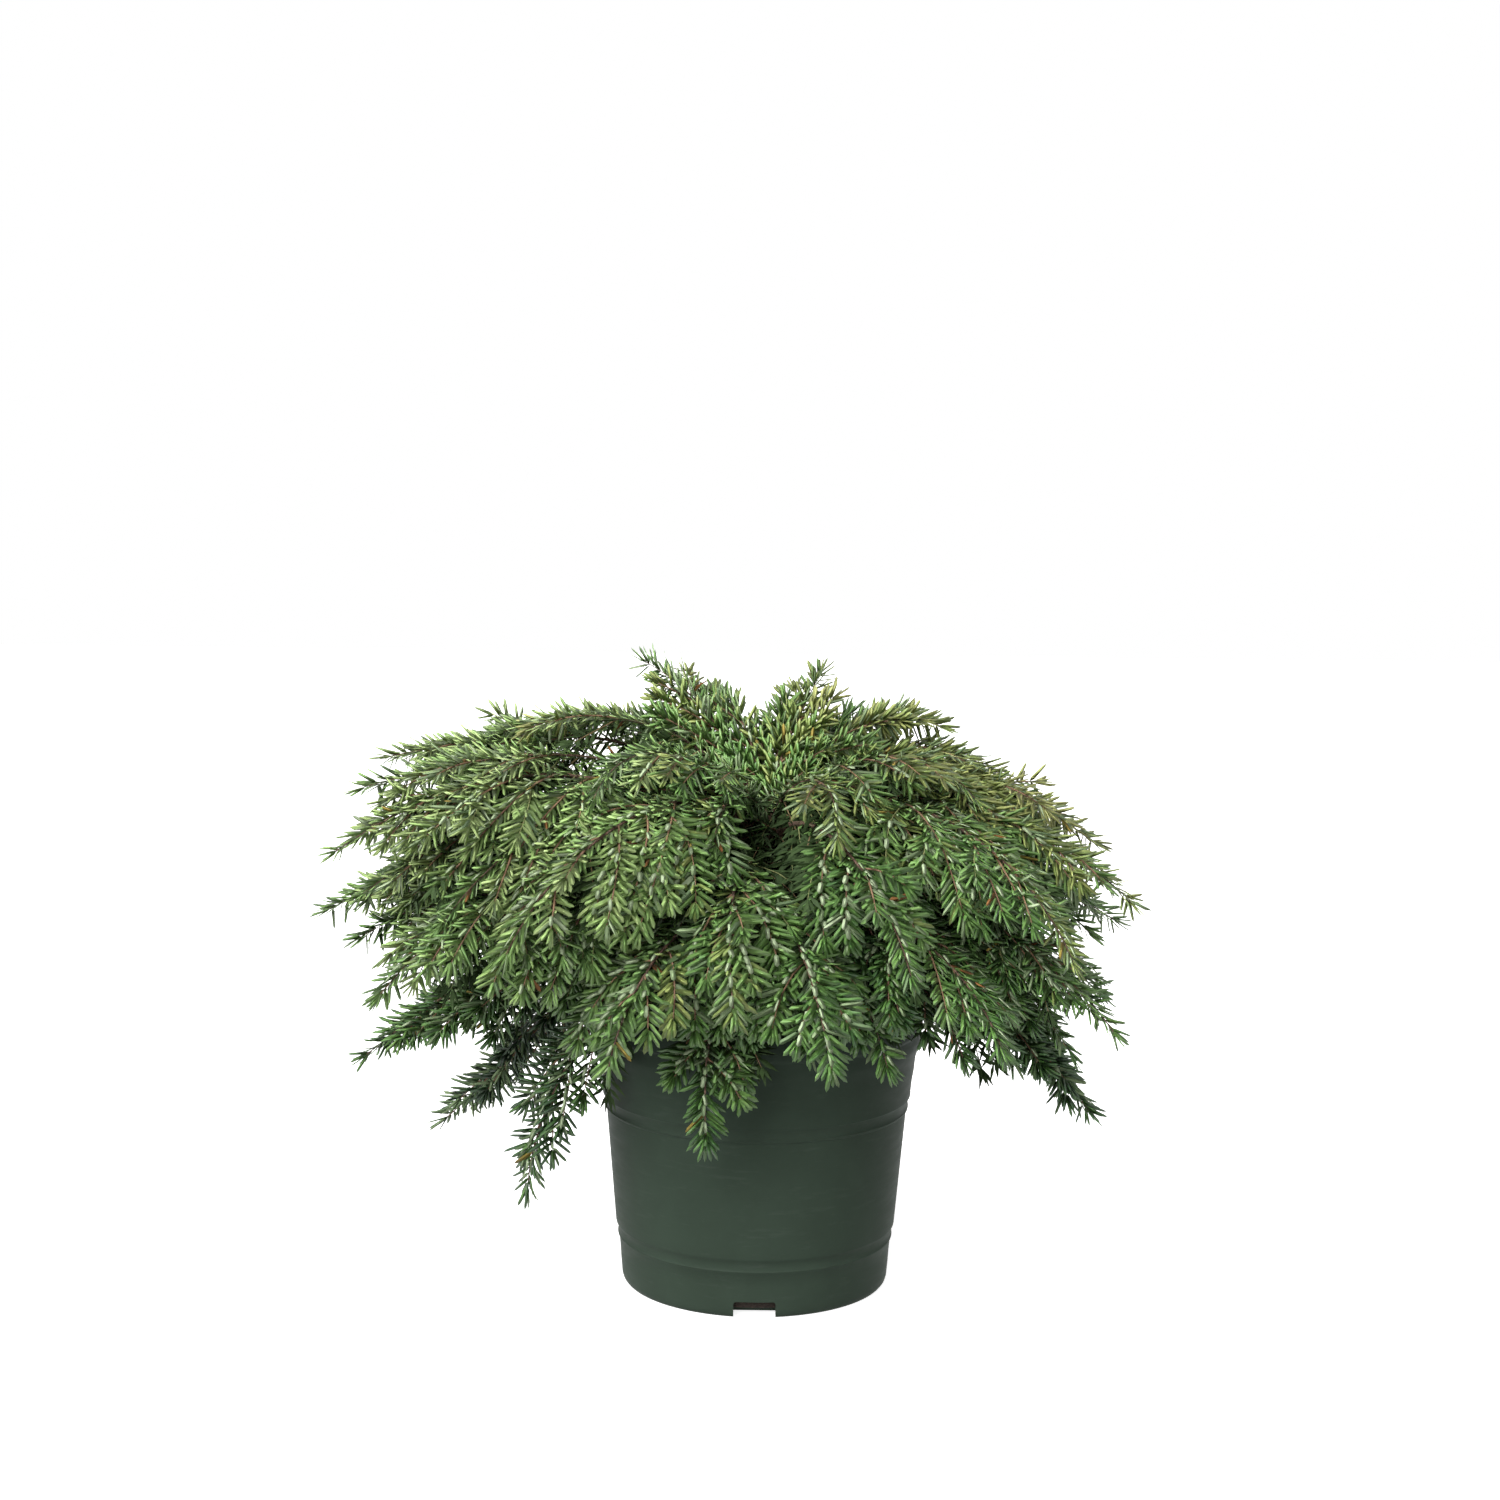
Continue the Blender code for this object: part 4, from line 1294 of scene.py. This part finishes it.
def soil_piece():
    """The crumbly top of the soil, closed down to the pot's floor."""
    chance = np.random.default_rng(55)
    shape = bmesh.new()
    edge = POT_TOP_R - WALL - 0.0022
    rings = []
    radii = np.linspace(0, edge, 46)
    for i, r in enumerate(radii):
        count = 1 if i == 0 else 150
        ring = []
        for j in range(count):
            a = 2 * math.pi * j / count
            x, y = r * math.cos(a), r * math.sin(a)
            z = SOIL_TOP + 0.0004 - 0.0028 * max(r / edge - 0.72, 0) / 0.28
            lump = noise.fractal(Vector((x * 95, y * 95, 1.3)), 0.9, 2.1, 5)
            z += 0.0012 * lump
            ring.append(shape.verts.new((x, y, z)))
        rings.append(ring)
    for a, b in zip(rings[:-1], rings[1:]):
        for i in range(len(b)):
            j = (i + 1) % len(b)
            if len(a) == 1:
                shape.faces.new((a[0], b[i], b[j]))
            else:
                shape.faces.new((a[i], b[i], b[j], a[j]))
    low = [shape.verts.new((v.co.x * 0.80, v.co.y * 0.80, BASE_THICK + 0.002)) for v in rings[-1]]
    top = rings[-1]
    for i in range(len(top)):
        j = (i + 1) % len(top)
        shape.faces.new((top[i], low[i], low[j], top[j]))
    shape.faces.new(low[::-1])
    for _ in range(420):
        r = edge * 0.97 * math.sqrt(chance.uniform(0.02, 1))
        a = chance.uniform(0, 2 * math.pi)
        size = chance.uniform(0.0006, 0.0021)
        z = SOIL_TOP + 0.0004 - 0.0028 * max(r / edge - 0.72, 0) / 0.28
        made = bmesh.ops.create_icosphere(
            shape,
            subdivisions=1,
            radius=size,
            matrix=Matrix.Translation((r * math.cos(a), r * math.sin(a), z + size * 0.3))
            @ Matrix.Rotation(chance.uniform(0, 3), 4, "X")
            @ Matrix.Diagonal((1, chance.uniform(0.5, 1), chance.uniform(0.35, 0.8), 1)),
        )
        for v in made["verts"]:
            v.co += Vector(chance.normal(0, size * 0.12, 3))
    bmesh.ops.recalc_face_normals(shape, faces=shape.faces)
    mesh = bpy.data.meshes.new("soil_bed")
    shape.to_mesh(mesh)
    shape.free()
    mesh.materials.append(soil_material())
    made = bpy.data.objects.new("soil_bed", mesh)
    bpy.context.scene.collection.objects.link(made)
    return made


soil = soil_piece()
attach(soil, "root")
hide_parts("soil")

# ------------------------------------------------------------------ floor, light, camera
def ground(name, height, emission):
    """A wide level sheet that glows a little."""
    size = 4.0
    mesh = bpy.data.meshes.new(name)
    corners = [(-size, -size, height), (size, -size, height), (size, size, height), (-size, size, height)]
    mesh.from_pydata(corners, [], [(0, 1, 2, 3)])
    white = plain(name, (0.93, 0.93, 0.93), 0.8, 0.2)
    glow = white.node_tree.nodes["Principled BSDF"]
    glow.inputs["Emission Color"].default_value = (1.0, 1.0, 1.0, 1.0)
    glow.inputs["Emission Strength"].default_value = emission
    mesh.materials.append(white)
    made = bpy.data.objects.new(name, mesh)
    bpy.context.scene.collection.objects.link(made)
    made.visible_diffuse = False
    return made


# The floor that is seen, and below it a dimmer one that only gloss reflects.
ground("floor", 0.0, 0.82).visible_glossy = False
ground("floor_sheen", -0.002, 0.8).visible_camera = False

world = bpy.data.worlds.new("studio")
bpy.context.scene.world = world
world.use_nodes = True
sky = world.node_tree
blank = sky.nodes["Background"]
blank.inputs["Color"].default_value = (1.0, 1.0, 1.0, 1.0)
blank.inputs["Strength"].default_value = 1.0
tent = sky.nodes.new("ShaderNodeBackground")
tent.inputs["Color"].default_value = (1.0, 1.0, 1.0, 1.0)
tent.inputs["Strength"].default_value = 0.34
seen = sky.nodes.new("ShaderNodeLightPath")
either = sky.nodes.new("ShaderNodeMixShader")
sky.links.new(seen.outputs["Is Camera Ray"], either.inputs["Fac"])
sheen = sky.nodes.new("ShaderNodeBackground")
sheen.inputs["Color"].default_value = (1.0, 1.0, 1.0, 1.0)
sheen.inputs["Strength"].default_value = 0.75
glossy = sky.nodes.new("ShaderNodeMixShader")
sky.links.new(seen.outputs["Is Glossy Ray"], glossy.inputs["Fac"])
sky.links.new(tent.outputs["Background"], glossy.inputs[1])
sky.links.new(sheen.outputs["Background"], glossy.inputs[2])
sky.links.new(glossy.outputs["Shader"], either.inputs[1])
sky.links.new(blank.outputs["Background"], either.inputs[2])
sky.links.new(either.outputs["Shader"], sky.nodes["World Output"].inputs["Surface"])


def softlight(name, way, strength, angle):
    """A wide, even light from a direction."""
    data = bpy.data.lights.new(name, "SUN")
    data.energy = strength
    data.angle = math.radians(angle)
    made = bpy.data.objects.new(name, data)
    bpy.context.scene.collection.objects.link(made)
    made.rotation_euler = Vector(way).to_track_quat("-Z", "Y").to_euler()
    return made


softlight("key", (0.44, 0.78, -0.54), 2.40, 40)
softlight("left", (0.74, 0.44, -0.88), 1.60, 50)
softlight("fill", (-0.45, 0.75, -0.40), 0.40, 60)
softlight("top", (0.12, 0.30, -1.0), 1.45, 34)

camera_data = bpy.data.cameras.new("camera")
camera_data.sensor_width = 36.0
camera_data.lens = 62.4
camera_data.clip_start = 0.05
camera = bpy.data.objects.new("camera", camera_data)
bpy.context.scene.collection.objects.link(camera)
pitch, roll = math.radians(7.2), math.radians(0.7)
ahead = Vector((0.0, math.cos(pitch), -math.sin(pitch)))
right = Vector((1.0, 0.0, 0.0))
upward = right.cross(ahead)
tipped = right * math.cos(roll) + upward * math.sin(roll)
above = upward * math.cos(roll) - right * math.sin(roll)
turn = Matrix((tipped, above, -ahead)).transposed().to_4x4()
camera.matrix_world = Matrix.Translation((-0.0061, -1.441, 0.4848)) @ turn
bpy.context.scene.camera = camera

view = bpy.context.scene.view_settings
view.view_transform = "Standard"
